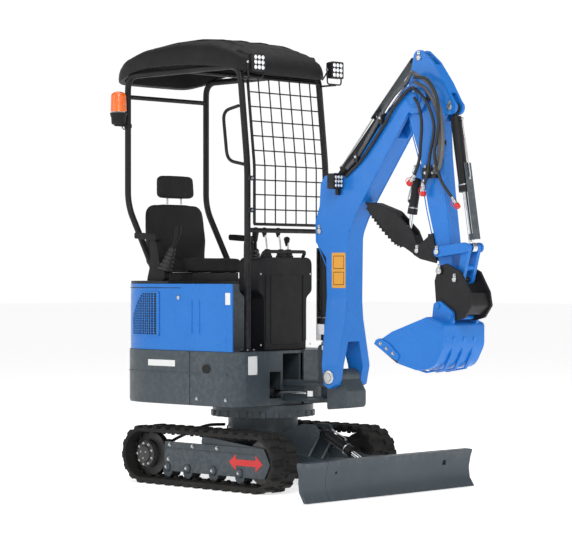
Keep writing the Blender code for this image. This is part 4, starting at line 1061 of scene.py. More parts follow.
@dataclass
class Seat:
    """The padded seat and its headrest.

    Attributes:
        half: half width of the cushion.
        low: Z of the cushion's underside.
    """

    half: float = 0.212
    low: float = 1.0885

    def pad(self, name: str, outline: list[Flat], half: float, crown: float, replaces: str,
            plane_round: float = 0.05) -> None:
        """One padded part: a side outline swept across its width with a round, quilted face.

        Args:
            name: the piece's name.
            outline: its side outline, (y, z).
            half: half width.
            crown: how far the middle bulges.
            replaces: the CAD node it stands for.
            plane_round: width over which the ends round off.
        """
        pad = Piece(name, VINYL, STITCH)
        middle = Vector((sum(p[0] for p in outline) / len(outline),
                         sum(p[1] for p in outline) / len(outline)))
        loops = []
        stations = 15
        for step in range(stations):
            share = step / (stations - 1) * 2 - 1
            x = share * half
            near = max(0.0, (abs(x) - (half - plane_round)) / plane_round)
            scale = math.sqrt(max(0.0, 1 - near * near)) * 0.22 + 0.78 + crown * (1 - share * share)
            groove = 1 - 0.030 * math.exp(-((abs(share) - 0.55) / 0.05) ** 2)
            loops.append([Vector((x, *(middle + (Vector(p) - middle) * min(scale, 1.0) * groove)))
                          for p in outline])
        pad.skin(loops)
        item = pad.done("house", 0.0, 60.0, 1, (replaces,))
        LOG.info("padded %s, %d faces", name, len(item.data.polygons))

    def build(self) -> None:
        """Build the three pads, their seams and the base."""
        seat = softened([(0.332, self.low), (0.642, self.low), (0.642, 1.150), (0.500, 1.152), (0.400, 1.166),
                         (0.348, 1.160)], 0.025, 6)
        self.pad("seat cushion pad", seat, self.half, 0.02, "seat_cushion")
        back = softened([(0.6425, 1.102), (0.698, 1.110), (0.703, 1.452), (0.664, 1.456), (0.632, 1.260),
                         (0.6425, 1.165)], 0.028, 6)
        self.pad("seat back pad", back, 0.205, 0.0, "seat_back", 0.09)
        head = softened([(0.642, 1.488), (0.694, 1.486), (0.694, 1.608), (0.654, 1.610)], 0.020, 6)
        self.pad("headrest pad", head, 0.124, 0.0, "headrest")
        trim = Piece("seat fittings", ZINC, STITCH, PLASTIC)
        for x in (-0.05, 0.05):
            trim.use(0).turned((x, 0.678, 1.4567), (0, 0, 1), [(0, 0.006), (0.045, 0.006)], 16)
        for x in (-0.112, 0.112):
            line = bent([(x, 0.350, 1.1615), (x, 0.430, 1.1645), (x, 0.500, 1.1530), (x, 0.628, 1.1505)],
                        0.02)
            trim.use(1).sweep(line, 0.0022, 8)
        line = bent([(-0.185, 0.470, 1.1560), (0.185, 0.470, 1.1560)], 0.02)
        trim.use(1).sweep(line, 0.0022, 8)
        for side in (-1, 1):
            guide = softened([(0.350, self.low), (0.610, self.low), (0.610, 1.104), (0.350, 1.104)], 0.004)
            trim.use(2).slab(guide, *sorted((side * 0.204, side * 0.214)))
        trim.done("house", 0.0006)


@dataclass
class Console:
    """One arm console with its joystick.

    Attributes:
        side: -1 for the right, 1 for the left.
    """

    side: int

    def build(self) -> None:
        """Build the pad, the column, the rubber boot and the grip."""
        word = "left" if self.side > 0 else "right"
        made = Piece("console " + word, PLASTIC, VINYL, HOSE, RED)
        side = self.side
        column = softened([(0.362, 1.0455), (0.500, 1.0455), (0.476, 1.12), (0.474, 1.262), (0.430, 1.258),
                           (0.400, 1.13), (0.362, 1.10)], 0.02)
        made.use(0).slab(column, *sorted((side * 0.324, side * 0.358)))
        pad = softened([(0.420, 1.254), (0.588, 1.266), (0.588, 1.298), (0.420, 1.286)], 0.012)
        made.use(1).slab(pad, *sorted((side * 0.319, side * 0.367)))
        base = Vector((side * 0.335, 0.385, 1.095))
        tip = Vector((side * 0.300, 0.360, 1.215))
        axis = tip - base
        length = axis.length
        boot = []
        for step in range(13):
            share = step / 12
            boot.append((length * share, 0.040 - 0.024 * share + (0.0030 if step % 2 else -0.0015)))
        made.use(2).turned(tuple(base), tuple(axis), boot, 24)
        stick = flowing([tuple(tip - axis * 0.1), (side * 0.293, 0.354, 1.245), (side * 0.287, 0.347, 1.272)],
                        5)
        made.use(0).sweep(stick, 0.0095)
        grip = flowing([(side * 0.288, 0.348, 1.255), (side * 0.285, 0.345, 1.285),
                        (side * 0.283, 0.339, 1.312), (side * 0.282, 0.333, 1.331)], 5)
        sizes = [0.0120 + 0.0055 * math.sin(math.pi * min(1.0, n / (len(grip) - 1) * 0.9))
                 for n in range(len(grip))]
        sizes[-1] = 0.0060
        made.use(0).sweep(grip, 0.013, 16, radii=sizes)
        made.use(3).turned((side * 0.282, 0.326, 1.318), (0, -1, 0.3),
                           [(0, 0.004), (0.004, 0.004), (0.005, 0.0)], 14)
        made.done("house", 0.0015, 40.0, replaces=("console_" + word,))


@dataclass
class ControlCover:
    """The black cover before the operator, with the travel levers and the hand rail.

    Attributes:
        front: Y of its front face.
    """

    front: float = -0.165

    def levers(self) -> None:
        """Two travel levers and a small one, with bellows and round knobs."""
        made = Piece("travel levers", PLASTIC, HOSE, ZINC)
        base_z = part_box("travel_levers")[0].z
        for x, y, lean, tall in ((-0.050, -0.080, 0.020, 0.150), (0.050, -0.080, 0.020, 0.150),
                                 (0.125, -0.060, 0.010, 0.105)):
            boot = [(0.006 * step, 0.026 - 0.0022 * step + (0.003 if step % 2 else 0.0)) for step in range(8)]
            made.use(1).turned((x, y, base_z + 0.0004), (0, 0, 1), boot, 20)
            line = flowing([(x, y, base_z + 0.030), (x, y + lean * 0.3, base_z + 0.080),
                            (x, y + lean, base_z + tall - 0.018)], 6)
            made.use(2).sweep(line, 0.0045)
            knob = [(-0.018, 0.007), (-0.006, 0.010), (0.006, 0.0135), (0.018, 0.0165), (0.026, 0.0140),
                    (0.031, 0.007), (0.032, 0.0)]
            made.use(0).turned((x, y + lean, base_z + tall - 0.028), (0, 0, 1), knob, 20)
        made.done("house", 0.0, 40.0, replaces=("travel_levers",))

    def build(self) -> None:
        """Dress the cover and add ribs, rail and levers."""
        dressed("front_cover", "house", PLASTIC, 0.0060, 25.0)
        ribs = Piece("cover ribs", PLASTIC, SHADE_SEAM_AND_PRINT_BLACK, ZINC)
        for x in (-0.135, 0.135):
            bar = softened([(x - 0.012, 0.735), (x + 0.012, 0.735), (x + 0.012, 1.075), (x - 0.012, 1.075)],
                           0.010)
            ribs.use(0).slab(bar, self.front - 0.0040, self.front + 0.004, Plane.FRONT)
        panel = softened([(-0.110, 0.720), (0.110, 0.720), (0.110, 1.075), (-0.110, 1.075)], 0.022)
        ribs.use(0).slab(panel, self.front - 0.0028, self.front + 0.004, Plane.FRONT)
        for x, z in ((-0.180, 0.720), (0.180, 0.720), (-0.180, 1.080), (0.180, 1.080)):
            ribs.use(2).turned((x, self.front + 0.001, z), (0, -1, 0),
                               [(0, 0.006), (0.003, 0.005), (0.0035, 0)], 14)
        ribs.done("house", 0.0018)
        rail = Piece("hand rail bar", BLACK)
        path = bent([(-0.150, -0.140, 1.1653), (-0.150, -0.158, 1.194), (0.150, -0.158, 1.194),
                     (0.150, -0.140, 1.1653)], 0.022)
        rail.sweep(path, 0.009, 14)
        rail.done("house", replaces=("hand_rail",))
        self.levers()


# ------------------------------------------------------------------ canopy


@dataclass
class Canopy:
    """Tube hoops, moulded roof, wire guard, grab handle, lamps and beacon.

    Attributes:
        post: X of the posts.
        tube: radius of the tubes.
        rear: Y of the rear posts.
        front: Y of the front posts.
        kink: Z where the front posts lean back.
        head: Z of the roof tubes.
        roof_half: half width of the roof.
        roof_front: Y of its front edge.
        roof_rear: Y of its rear edge.
        roof_low: Z of its rim.
        roof_top: Z of its crown.
    """

    post: float = 0.285
    tube: float = 0.0165
    rear: float = 0.730
    front: float = -0.175
    kink: float = 1.622
    head: float = 2.130
    roof_half: float = 0.315
    roof_front: float = -0.210
    roof_rear: float = 0.860
    roof_low: float = 2.095
    roof_top: float = 2.300

    def hoops(self) -> None:
        """The two side hoops with their cross bars, feet and grab handle."""
        made = Piece("canopy hoops", BLACK, ZINC)
        for side in (-1, 1):
            x = side * self.post
            route = [(x, 0.520, 1.0455), (x, 0.520, 1.090), (x, self.rear, 1.445), (x, self.rear, self.head),
                     (x, -0.120, self.head), (x, self.front, self.kink), (x, self.front, 0.6905)]
            made.use(0).sweep(bent(route, 0.075, 9), self.tube, 20)
            for y, z in ((0.520, 1.0455), (self.front, 0.6905)):
                foot = softened([(x - 0.030, y - 0.030), (x + 0.030, y - 0.030), (x + 0.030, y + 0.030),
                                 (x - 0.030, y + 0.030)], 0.010)
                made.use(0).slab(foot, z, z + 0.007, Plane.PLAN)
                for dx, dy in ((-0.022, -0.022), (0.022, -0.022), (-0.022, 0.022), (0.022, 0.022)):
                    made.use(1).bolt((x + dx, y + dy, z + 0.007), (0, 0, 1), 0.0055)
        inner = self.post - 0.004
        for y, z, size in ((self.rear, 2.02, 0.012), (-0.125, 2.085, 0.012), (self.front, 1.300, 0.012),
                           (0.30, self.head, 0.012)):
            made.use(0).sweep([Vector((-inner, y, z)), Vector((0, y, z)), Vector((inner, y, z))], size, 16)
        handle = [(-self.post, -0.112, 1.927), (-self.post, 0.002, 1.905), (-self.post, -0.030, 1.655),
                  (-self.post, -0.165, 1.628)]
        made.use(0).sweep(bent(handle, 0.050, 8), 0.0085, 14)
        made.done("house", replaces=("canopy_frame",))

    def shell(self) -> None:
        """The moulded roof: a crowned top over a deep rim, hollow underneath."""
        top_profile = [(self.roof_front, 0.055), (-0.150, 0.105), (-0.060, 0.150), (0.080, 0.190),
                       (0.240, 0.203), (0.420, 0.200), (0.600, 0.184), (0.740, 0.150), (0.820, 0.110),
                       (self.roof_rear, 0.070)]
        rim_profile = [(self.roof_front, -0.012), (-0.100, 0.020), (0.050, 0.045), (0.300, 0.070),
                       (0.500, 0.078), (0.650, 0.055), (0.780, 0.020), (self.roof_rear, 0.000)]

        def read(profile: list[Flat], y: float) -> float:
            """Height of a profile at a Y, smoothed between its points."""
            for (y0, z0), (y1, z1) in zip(profile, profile[1:]):
                if y <= y1:
                    t = max(0.0, (y - y0) / (y1 - y0))
                    t = t * t * (3 - 2 * t) * 0.4 + t * 0.6
                    return self.roof_low + z0 + (z1 - z0) * t
            return self.roof_low + profile[-1][1]

        middle = (self.roof_front + self.roof_rear) / 2
        long_half = (self.roof_rear - self.roof_front) / 2
        around = 72

        def rim(scale: float) -> list[Flat]:
            """The plan outline at a scale: a squared-off oval."""
            points = []
            for step in range(around):
                angle = 2 * math.pi * step / around
                cosine, sine = math.cos(angle), math.sin(angle)
                x = math.copysign(abs(cosine) ** (2 / 6.5), cosine) * self.roof_half
                y = math.copysign(abs(sine) ** (2 / 6.5), sine) * long_half
                points.append((x * scale, middle + y * scale))
            return points

        loops = []
        under = ((0.02, 0.118), (0.45, 0.115), (0.80, 0.105), (0.925, 0.095))
        for scale, lift in under:
            loops.append([Vector((x, y, min(self.roof_low + lift + 0.02, read(top_profile, y) - 0.012)))
                          for x, y in rim(scale)])
        for scale, lift in ((0.940, 0.000), (0.960, -0.003), (0.990, -0.002), (0.998, 0.004), (1.0, 0.016)):
            loops.append([Vector((x, y, read(rim_profile, y) + lift)) for x, y in rim(scale)])
        crown = ((0.996, 0.35), (0.985, 0.62), (0.965, 0.80), (0.93, 0.90), (0.86, 0.955), (0.74, 0.985),
                 (0.55, 0.997), (0.30, 1.0), (0.02, 1.0))
        for scale, share in crown:
            loop = []
            for x, y in rim(scale):
                low = read(rim_profile, y) + 0.016
                high = read(top_profile, y) - 0.030 * (abs(x) / self.roof_half) ** 4
                loop.append(Vector((x, y, low + (high - low) * share)))
            loops.append(loop)
        roof = Piece("roof shell", PLASTIC)
        roof.skin(loops)
        roof.done("house", 0.0, 50.0, replaces=("canopy_roof",))
        ribs = Piece("roof ribs", PLASTIC, ZINC)
        for x in (-0.200, -0.070, 0.070, 0.200):
            loops = []
            for step in range(22):
                y = -0.060 + 0.780 * step / 21
                z = read(top_profile, y) - 0.030 * (abs(x) / self.roof_half) ** 4 - 0.002
                z = min(z, self.roof_top - 0.003)
                lift = 0.0045 * min(1.0, step / 2, (21 - step) / 2)
                loops.append([Vector((x - 0.011, y, z - 0.006)), Vector((x + 0.011, y, z - 0.006)),
                              Vector((x + 0.007, y, z + lift)), Vector((x - 0.007, y, z + lift))])
            ribs.use(0).skin(loops)
        ribs.done("house", 0.0015, 30.0)

    def guard(self) -> None:
        """The welded wire guard."""
        made = Piece("wire guard", BLACK, ZINC)
        kink_y = self.front - self.tube - 0.010
        low, kink, high = (kink_y, 1.330), (kink_y, self.kink), (kink_y + 0.050, 2.070)
        half = 0.262
        loop = bent([(-half, *low), (half, *low), (half, *kink), (half, *high), (-half, *high),
                     (-half, *kink), (-half, *low)], 0.030, 6)
        made.use(0).sweep(loop, 0.0075, 14)
        pitch = 2 * half / 7
        for count in range(1, 7):
            x = -half + count * pitch
            made.sweep(bent([(x, *low), (x, *kink), (x, *high)], 0.02, 5), 0.0035, 8)
        for row in range(1, 10):
            share = row / 10
            z = low[1] + (high[1] - low[1]) * share
            y = kink_y if z < self.kink else kink_y + 0.050 * (z - self.kink) / (high[1] - self.kink)
            made.sweep([Vector((-half, y - 0.004, z)), Vector((0, y - 0.004, z)),
                        Vector((half, y - 0.004, z))], 0.0035, 8)
        for side in (-1, 1):
            for z in (1.40, 1.56):
                x0, x1 = sorted((side * (half - 0.002), side * (self.post + 0.010)))
                made.use(0).block((x0, self.front - 0.0305, z - 0.012), (x1, self.front - 0.0165, z + 0.012))
                made.use(1).bolt((side * (self.post - 0.004), self.front - 0.0305, z), (0, -1, 0), 0.0065)
        made.done("house", replaces=("front_guard",))

    def lamps(self) -> None:
        """Two round work lamps, each a finned body with a ring of lenses."""
        for side, word in ((-1, "right"), (1, "left")):
            x = side * (self.post + 0.001)
            lamp = Piece("work lamp " + word, BLACK, CLEAR, ZINC)
            for low, high, half, cut in ((-0.262, -0.250, 0.0440, 0.010), (-0.250, -0.244, 0.0410, 0.010),
                                         (-0.239, -0.235, 0.0425, 0.010), (-0.230, -0.226, 0.0425, 0.010),
                                         (-0.221, -0.217, 0.0405, 0.010), (-0.246, -0.213, 0.0360, 0.012)):
                shape = softened([(x - half, 2.135 - half), (x + half, 2.135 - half),
                                  (x + half, 2.135 + half), (x - half, 2.135 + half)], cut)
                lamp.use(0).slab(shape, low, high, Plane.FRONT)
            for place in [(x + 0.025 * col, 2.135 + 0.025 * row) for col in (-1, 0, 1) for row in (-1, 0, 1)]:
                cup = [(-0.001, 0.0108), (0.0004, 0.0108), (0.0006, 0.0088), (0.0016, 0.0060), (0.0020, 0.0)]
                lamp.use(1).turned((place[0], -0.2618, place[1]), (0, -1, 0), cup, 16)
            yoke = bent([(x - 0.052, -0.236, 2.135), (x - 0.052, -0.236, 2.062), (x + 0.052, -0.236, 2.062),
                         (x + 0.052, -0.236, 2.135)], 0.016, 5)
            lamp.use(0).sweep(yoke, 0.0042, 8)
            lamp.block((x - 0.010, -0.242, 2.054), (x + 0.010, -0.150, 2.062))
            for turn in (-1, 1):
                lamp.use(2).bolt((x + turn * 0.0535, -0.236, 2.135), (turn, 0, 0), 0.006)
            lead = flowing([(x, -0.212, 2.135), (x, -0.185, 2.128), (x, -0.165, 2.105), (x, -0.150, 2.090)],
                           5)
            lamp.use(0).sweep(lead, 0.0035, 8)
            lamp.done("house", 0.0006, replaces=("work_lamp_" + word,))

    def beacon(self) -> None:
        """The amber flashing lamp on its bracket."""
        x = -self.post - 0.066
        made = Piece("beacon", PLASTIC, AMBER, ZINC, SHADE_SEAM_AND_PRINT_BLACK)
        base = [(0, 0.030), (0.006, 0.038), (0.040, 0.040), (0.048, 0.044), (0.062, 0.046), (0.064, 0.043),
                (0.064, 0.0)]
        made.use(0).turned((x, self.rear, 1.870), (0, 0, 1), base, 40)
        dome = []
        for step in range(12):
            z = 0.005 + 0.0075 * step
            dome += [(z, 0.0435 - 0.0002 * step), (z + 0.002, 0.0425 - 0.0002 * step),
                     (z + 0.0055, 0.0425 - 0.0002 * step)]
        dome += [(0.098, 0.038), (0.106, 0.029), (0.111, 0.014), (0.1125, 0.0)]
        made.use(1).turned((x, self.rear, 1.9335), (0, 0, 1), dome, 40)
        bar = softened([(x - 0.022, self.rear - 0.012), (-self.post - 0.0168, self.rear - 0.012),
                        (-self.post - 0.0168, self.rear + 0.012), (x - 0.022, self.rear + 0.012)], 0.004)
        made.use(0).slab(bar, 1.862, 1.8705, Plane.PLAN)
        clamp = [(-0.010, 0.0205), (0.010, 0.0205)]
        made.turned((-self.post, self.rear, 1.866), (0, 0, 1), clamp, 28)
        lead = flowing([(x + 0.02, self.rear, 1.866), (x + 0.035, self.rear, 1.848),
                        (-self.post - 0.018, self.rear, 1.852)], 5)
        made.sweep(lead, 0.003, 8)
        made.done("house", 0.0004, replaces=("beacon",))

    def build(self) -> None:
        """Build everything above the deck but the seat."""
        self.hoops()
        self.shell()
        self.guard()
        self.lamps()
        self.beacon()


# ------------------------------------------------------------------ working gear


@dataclass(frozen=True)
class Ram:
    """One hydraulic cylinder's pins, for the ports and lines on its barrel.

    Attributes:
        stem: start of its nodes' names.
        barrel: body of the barrel.
        rod: body of the rod.
        base: base pin, (y, z).
        eye: rod eye, (y, z).
        radius: barrel radius.
        length: distance from the base pin to the barrel's end.
        lift: side of the barrel the hard line runs on, 1 or -1.
        tone: the barrel's finish.
        guard: whether a folded guard rides on the rod.
    """

    stem: str
    barrel: str
    rod: str
    base: Flat
    eye: Flat
    radius: float
    length: float
    lift: int = 1
    tone: Finish = BLACK
    guard: bool = False

    def build(self) -> None:
        """Dress the barrel and rod; add gland ring, ports and hard line."""
        dressed(self.stem + "_barrel", self.barrel, self.tone, 0.0012, 35.0)
        dressed(self.stem + "_rod", self.rod, CHROME, 0.0010, 35.0)
        start = Vector((0, *self.base))
        along = (Vector((0, *self.eye)) - start).normalized()
        across = Vector((1, 0, 0)).cross(along) * self.lift
        made = Piece(self.stem + " ports", ZINC, HOSE, self.tone)
        ring_at = start + along * (self.length - 0.030)
        made.use(0).turned(tuple(ring_at), tuple(along), [(0, self.radius * 1.04),
                                                          (0.003, self.radius * 1.13),
                                                          (0.007, self.radius * 1.04)], 28)
        near = start + along * (self.radius * 2.4)
        far = start + along * (self.length - 0.052)
        for place in (near, far):
            made.use(2).turned(tuple(place + across * (self.radius - 0.003)), tuple(across),
                               [(0, 0.0095), (0.010, 0.0095), (0.012, 0.008)], 16)
            made.use(0).turned(tuple(place + across * (self.radius + 0.008)), tuple(across),
                               [(0, 0.0075), (0.007, 0.0075), (0.008, 0.006)], 6)
        line = [far + across * (self.radius + 0.014), far + across * (self.radius + 0.018) - along * 0.012,
                near + across * (self.radius + 0.010) + along * 0.030, near + across * (self.radius + 0.013)]
        made.use(0).sweep(bent([tuple(p) for p in line], 0.012, 5), 0.0038, 10)
        made.done(self.barrel, 0.0004)
        if self.guard:
            self.paint_guard(start, along)

    def paint_guard(self, start: Vector, along: Vector) -> None:
        """Give the folded guard on the rod the slate enamel.

        Args:
            start: the base pin.
            along: direction from the base to the eye.
        """
        rod = bpy.data.objects[self.stem + "_rod_skin"].data
        rod.materials.append(SLATE.material())
        reach = (Vector((0, *self.eye)) - start).length
        for face in rod.polygons:
            arm = face.center - SHIFT - start
            way = arm.dot(along)
            off = arm - along * way
            if off.length > 0.0185 and reach - way > 0.026:
                face.material_index = 1


@dataclass
class Gear:
    """Swing post, boom, arm, thumb, hitch and bucket.

    Attributes:
        pins: each pin's place, body, outer face and radius.
    """

    pins: list[tuple[str, Flat, float, float]] = field(default_factory=lambda: [
        ("boom", (-0.454, 1.294), 0.0555, 0.0150), ("boom", (-0.530, 1.530), 0.0555, 0.0150),
        ("boom", (-1.080, 1.920), 0.0555, 0.0230), ("swing", (-0.454, 0.710), 0.0300, 0.0140),
        ("arm", (-1.093, 2.117), 0.0352, 0.0150), ("arm", (-1.285, 1.868), 0.0352, 0.0150),
        ("arm", (-1.228, 1.183), 0.0622, 0.0130), ("bucket", (-1.262, 1.094), 0.0852, 0.0165),
        ("bucket", (-1.352, 1.052), 0.0792, 0.0120), ("arm", (-1.090, 1.190), 0.0450, 0.0120),
        ("arm", (-1.062, 1.575), 0.0282, 0.0120)])

    def pin_ends(self) -> None:
        """Silver pin ends with keeper plates on both sides."""
        by_body: dict[str, Piece] = {}
        for body, place, x, radius in self.pins:
            made = by_body.setdefault(body, Piece(body + " pin ends", ZINC, IRON))
            for side in (-1, 1):
                made.use(0).pin(place, side * x, radius, side)
        for body, made in by_body.items():
            made.done(body, 0.0004)

    def boom(self) -> None:
        """The boom's blank labels, lamp and foot pins."""
        dressed("boom", "boom", BLUE, 0.0035, 26.0)
        dressed("boom_lamp", "boom", BLACK, 0.0030, 26.0)
        made = Piece("boom fittings", ZINC, YELLOW, SHADE_SEAM_AND_PRINT_BLACK, CLEAR, BLUE, BLACK)
        for side in (-1, 1):
            label = softened([(-0.632, 1.010), (-0.540, 1.010), (-0.540, 1.185), (-0.632, 1.185)], 0.006)
            low, high = sorted((side * 0.0545, side * 0.0558))
            made.use(1).slab(label, low, high)
            for z0, z1 in ((1.025, 1.090), (1.105, 1.170)):
                box = softened([(-0.622, z0), (-0.550, z0), (-0.550, z1), (-0.622, z1)], 0.004)
                frame_low, frame_high = sorted((side * 0.0547, side * 0.0560))
                made.use(2).slab(box, frame_low, frame_high)
                core = softened([(-0.619, z0 + 0.003), (-0.553, z0 + 0.003), (-0.553, z1 - 0.003),
                                 (-0.619, z1 - 0.003)], 0.003)
                core_low, core_high = sorted((side * 0.0548, side * 0.0562))
                made.use(1).slab(core, core_low, core_high)
            boss = [(-0.001, 0.045), (0.004, 0.045), (0.006, 0.042), (0.006, 0.030), (0.010, 0.030),
                    (0.012, 0.027), (0.012, 0.0)]
            made.use(4).turned((side * 0.0545, -1.080, 1.920), (side, 0, 0), boss, 36)
            foot = [(-0.001, 0.036), (0.006, 0.036), (0.008, 0.033), (0.008, 0.022), (0.013, 0.021),
                    (0.014, 0.0)]
            made.use(0).turned((side * 0.1180, -0.578, 0.569), (side, 0, 0), foot, 32)
        grid = [(-0.113 + 0.020 * col, 1.516 + 0.0205 * row) for col in range(3) for row in range(3)]
        face = softened([(-0.125, 1.504), (-0.063, 1.504), (-0.063, 1.571), (-0.125, 1.571)], 0.006)
        made.use(5).slab(face, -0.6225, -0.6195, Plane.FRONT)
        for x, z in grid:
            cup = [(-0.001, 0.0085), (0.0005, 0.0085), (0.0025, 0.0060), (0.0034, 0.0)]
            made.use(3).turned((x, -0.6222, z), (0, -1, 0), cup, 16)
        made.done("boom", 0.0005)

    def welds(self) -> None:
        """Weld beads along the boom's edges and the arm's lobes."""
        for body, runs in (("boom", (((0.0556, -0.640, 0.900), (0.0556, -0.646, 1.270),
                                      (0.0556, -0.690, 1.362), (0.0556, -0.760, 1.462),
                                      (0.0556, -0.985, 1.772)), ((0.0556, -0.512, 1.100),
                                                                 (0.0556, -0.440, 1.230),
                                                                 (0.0556, -0.436, 1.340)))),
                           ("arm", (((0.0356, -1.190, 1.210), (0.0356, -1.140, 1.389),
                                     (0.0356, -1.095, 1.620), (0.0356, -1.034, 1.800)),
                                    ((0.0356, -1.290, 1.210), (0.0356, -1.258, 1.448),
                                     (0.0356, -1.238, 1.638)),))):
            made = Piece(body + " weld beads", BLUE)
            for run in runs:
                for side in (-1, 1):
                    path = bent([(side * (x - 0.0012), y, z) for x, y, z in run], 0.03, 4)
                    fine = []
                    for a, b in zip(path, path[1:]):
                        count = max(1, int((b - a).length / 0.006))
                        fine += [a.lerp(b, n / count) for n in range(count)]
                    fine.append(path[-1])
                    sizes = [0.0026 + 0.0006 * (n % 2) for n in range(len(fine))]
                    made.sweep(fine, 0.003, 6, radii=sizes)
            made.done(body)

    def arm(self) -> None:
        """The arm's skin, thumb and mount."""
        dressed("arm", "arm", BLUE, 0.0030, 26.0)
        dressed("thumb", "thumb", BLACK, 0.0025, 26.0)
        self.teeth()
        dressed("thumb_mount", "arm", BLACK, 0.0025, 26.0)
        dressed("guide_link", "guide_link", BLUE, 0.0020, 26.0)
        dressed("bucket_link", "bucket_link", BLUE, 0.0020, 26.0)
        dressed("quick_hitch", "bucket", BLACK, 0.0025, 26.0)
        dressed("bucket", "bucket", BLUE, 0.0022, 26.0)
        dressed("swing_bracket", "swing", SLATE, 0.0030, 26.0)

    def teeth(self) -> None:
        """The saw teeth along the thumb's lower edge."""
        made = Piece("thumb teeth", BLACK)
        edge = [(-0.752, 1.405), (-0.785, 1.3655), (-0.850, 1.3005), (-0.930, 1.2325), (-1.000, 1.2055)]
        steps = [Vector(a).lerp(Vector(b), n / 4) for a, b in zip(edge, edge[1:]) for n in range(4)]
        for a, b in zip(steps, steps[1:]):
            run = b - a
            out = Vector((-run.y, run.x)).normalized()
            if out.y > 0:
                out = -out
            peak = a + run * 0.35 + out * 0.011
            root = out * -0.006
            for x in (-0.032, 0.022):
                made.slab([tuple(a + root), tuple(b + root), tuple(b), tuple(peak), tuple(a)], x, x + 0.010)
        made.done("thumb", 0.0010, 30.0)

    def bucket(self) -> None:
        """Side cutters, cutting edge, wear ribs and bolts of the bucket."""
        made = Piece("bucket fittings", BLUE, ZINC, IRON)
        for side in (-1, 1):
            x = side * 0.150
            cutter = softened([(-0.915, 0.742), (-0.985, 0.700), (-1.060, 0.664), (-1.075, 0.690),
                               (-1.010, 0.745), (-0.950, 0.772), (-0.922, 0.762)], 0.008)
            made.use(0).slab(cutter, *sorted((x, x + side * 0.007)))
            for y, z in ((-0.955, 0.745), (-0.995, 0.722), (-1.035, 0.700)):
                made.use(1).bolt((x + side * 0.007, y, z), (side, 0, 0), 0.0075)
            collar = softened([(-1.240, 0.872), (-1.338, 0.842), (-1.340, 0.826), (-1.240, 0.856)], 0.003)
            made.use(0).slab(collar, *sorted((x - side * 0.001, x + side * 0.004)))
        for x in (-0.075, 0.0, 0.075):
            rib = [(-1.100, 0.6325), (-1.180, 0.6170), (-1.285, 0.6330), (-1.325, 0.7000), (-1.345, 0.7800),
                   (-1.350, 0.7800), (-1.334, 0.6980), (-1.291, 0.6270), (-1.180, 0.6080), (-1.098, 0.6260)]
            made.use(0).slab(rib, x - 0.009, x + 0.009)
        lip = [(-0.906, 0.7445), (-0.914, 0.7520), (-1.060, 0.6640), (-1.056, 0.6520)]
        made.use(2).slab(lip, -0.1505, 0.1505)
        made.done("bucket", 0.0012)

    def hoses(self) -> None:
        """Hoses over the boom head and along the arm, with their fittings and capped couplers."""
        made = Piece("arm hoses", HOSE, BRAID, ZINC, RED, BLACK)
        route = [(-0.094, -1.118, 2.032), (-0.094, -1.210, 1.976), (-0.082, -1.262, 1.853),
                 (-0.076, -1.276, 1.711), (-0.072, -1.258, 1.600), (-0.066, -1.230, 1.555)]
        made.use(1).sweep(flowing(route, 9), 0.0095, 16)
        other = [(-0.092, -1.118, 1.995), (-0.090, -1.190, 1.950), (-0.070, -1.235, 1.850),
                 (-0.060, -1.245, 1.720), (-0.056, -1.225, 1.610), (-0.052, -1.200, 1.560)]
        made.sweep(flowing(other, 9), 0.0085, 16)
        loops = ([(-0.094, -1.118, 1.958), (-0.096, -1.160, 1.930), (-0.092, -1.205, 1.870),
                  (-0.086, -1.232, 1.769), (-0.078, -1.200, 1.650), (-0.070, -1.178, 1.560),
                  (-0.066, -1.150, 1.500)], [(-0.093, -1.112, 1.920), (-0.092, -1.140, 1.880),
                                             (-0.082, -1.150, 1.800), (-0.072, -1.135, 1.700),
                                             (-0.066, -1.120, 1.620), (-0.064, -1.085, 1.545)],
                 [(-0.100, -1.118, 2.014), (-0.100, -1.200, 2.000), (-0.098, -1.262, 1.900),
                  (-0.094, -1.262, 1.760), (-0.084, -1.232, 1.640), (-0.070, -1.262, 1.520),
                  (-0.062, -1.330, 1.430)])
        for loop in loops:
            made.use(0).sweep(flowing(list(loop), 9), 0.0075, 14)
        for place, axis in (((-0.066, -1.150, 1.500), (0, 0.10, -1)), ((-0.064, -1.085, 1.545),
                                                                       (0, 0.6, -0.7)),
                            ((-0.062, -1.330, 1.430), (0, -0.6, -0.8))):
            made.use(2).turned(place, axis, [(-0.012, 0.0090), (0.004, 0.0090), (0.006, 0.0115),
                                             (0.018, 0.0115), (0.020, 0.0095), (0.030, 0.0095)], 18)
            tip = Vector(place) + Vector(axis).normalized() * 0.028
            made.use(3).turned(tuple(tip), axis, [(0, 0.0130), (0.003, 0.0140), (0.020, 0.0140),
                                                  (0.024, 0.0110), (0.024, 0.0)], 20)
            tether = flowing([tuple(tip), tuple(tip + Vector((-0.015, 0.010, -0.012))),
                              tuple(tip + Vector((-0.008, 0.022, 0.010))), tuple(Vector(place))], 5)
            made.sweep(tether, 0.0018, 8)
        made.use(4).block((-0.056, -1.215, 1.535), (-0.0352, -1.130, 1.585))
        made.block((-0.050, -1.265, 1.690), (-0.0352, -1.215, 1.712))
        made.block((-0.050, -1.170, 1.905), (-0.0352, -1.120, 1.925))
        for y, z in ((-1.195, 1.560), (-1.150, 1.560), (-1.240, 1.701), (-1.145, 1.915)):
            made.use(2).bolt((-0.0560 if z < 1.6 else -0.0500, y, z), (-1, 0, 0), 0.006)
        for y in (-1.200, -1.172, -1.144):
            made.use(2).turned((-0.046, y, 1.585), (0, 0, 1), [(-0.002, 0.008), (0.012, 0.008),
                                                               (0.014, 0.006)], 6)
        made.done("arm", 0.0004)

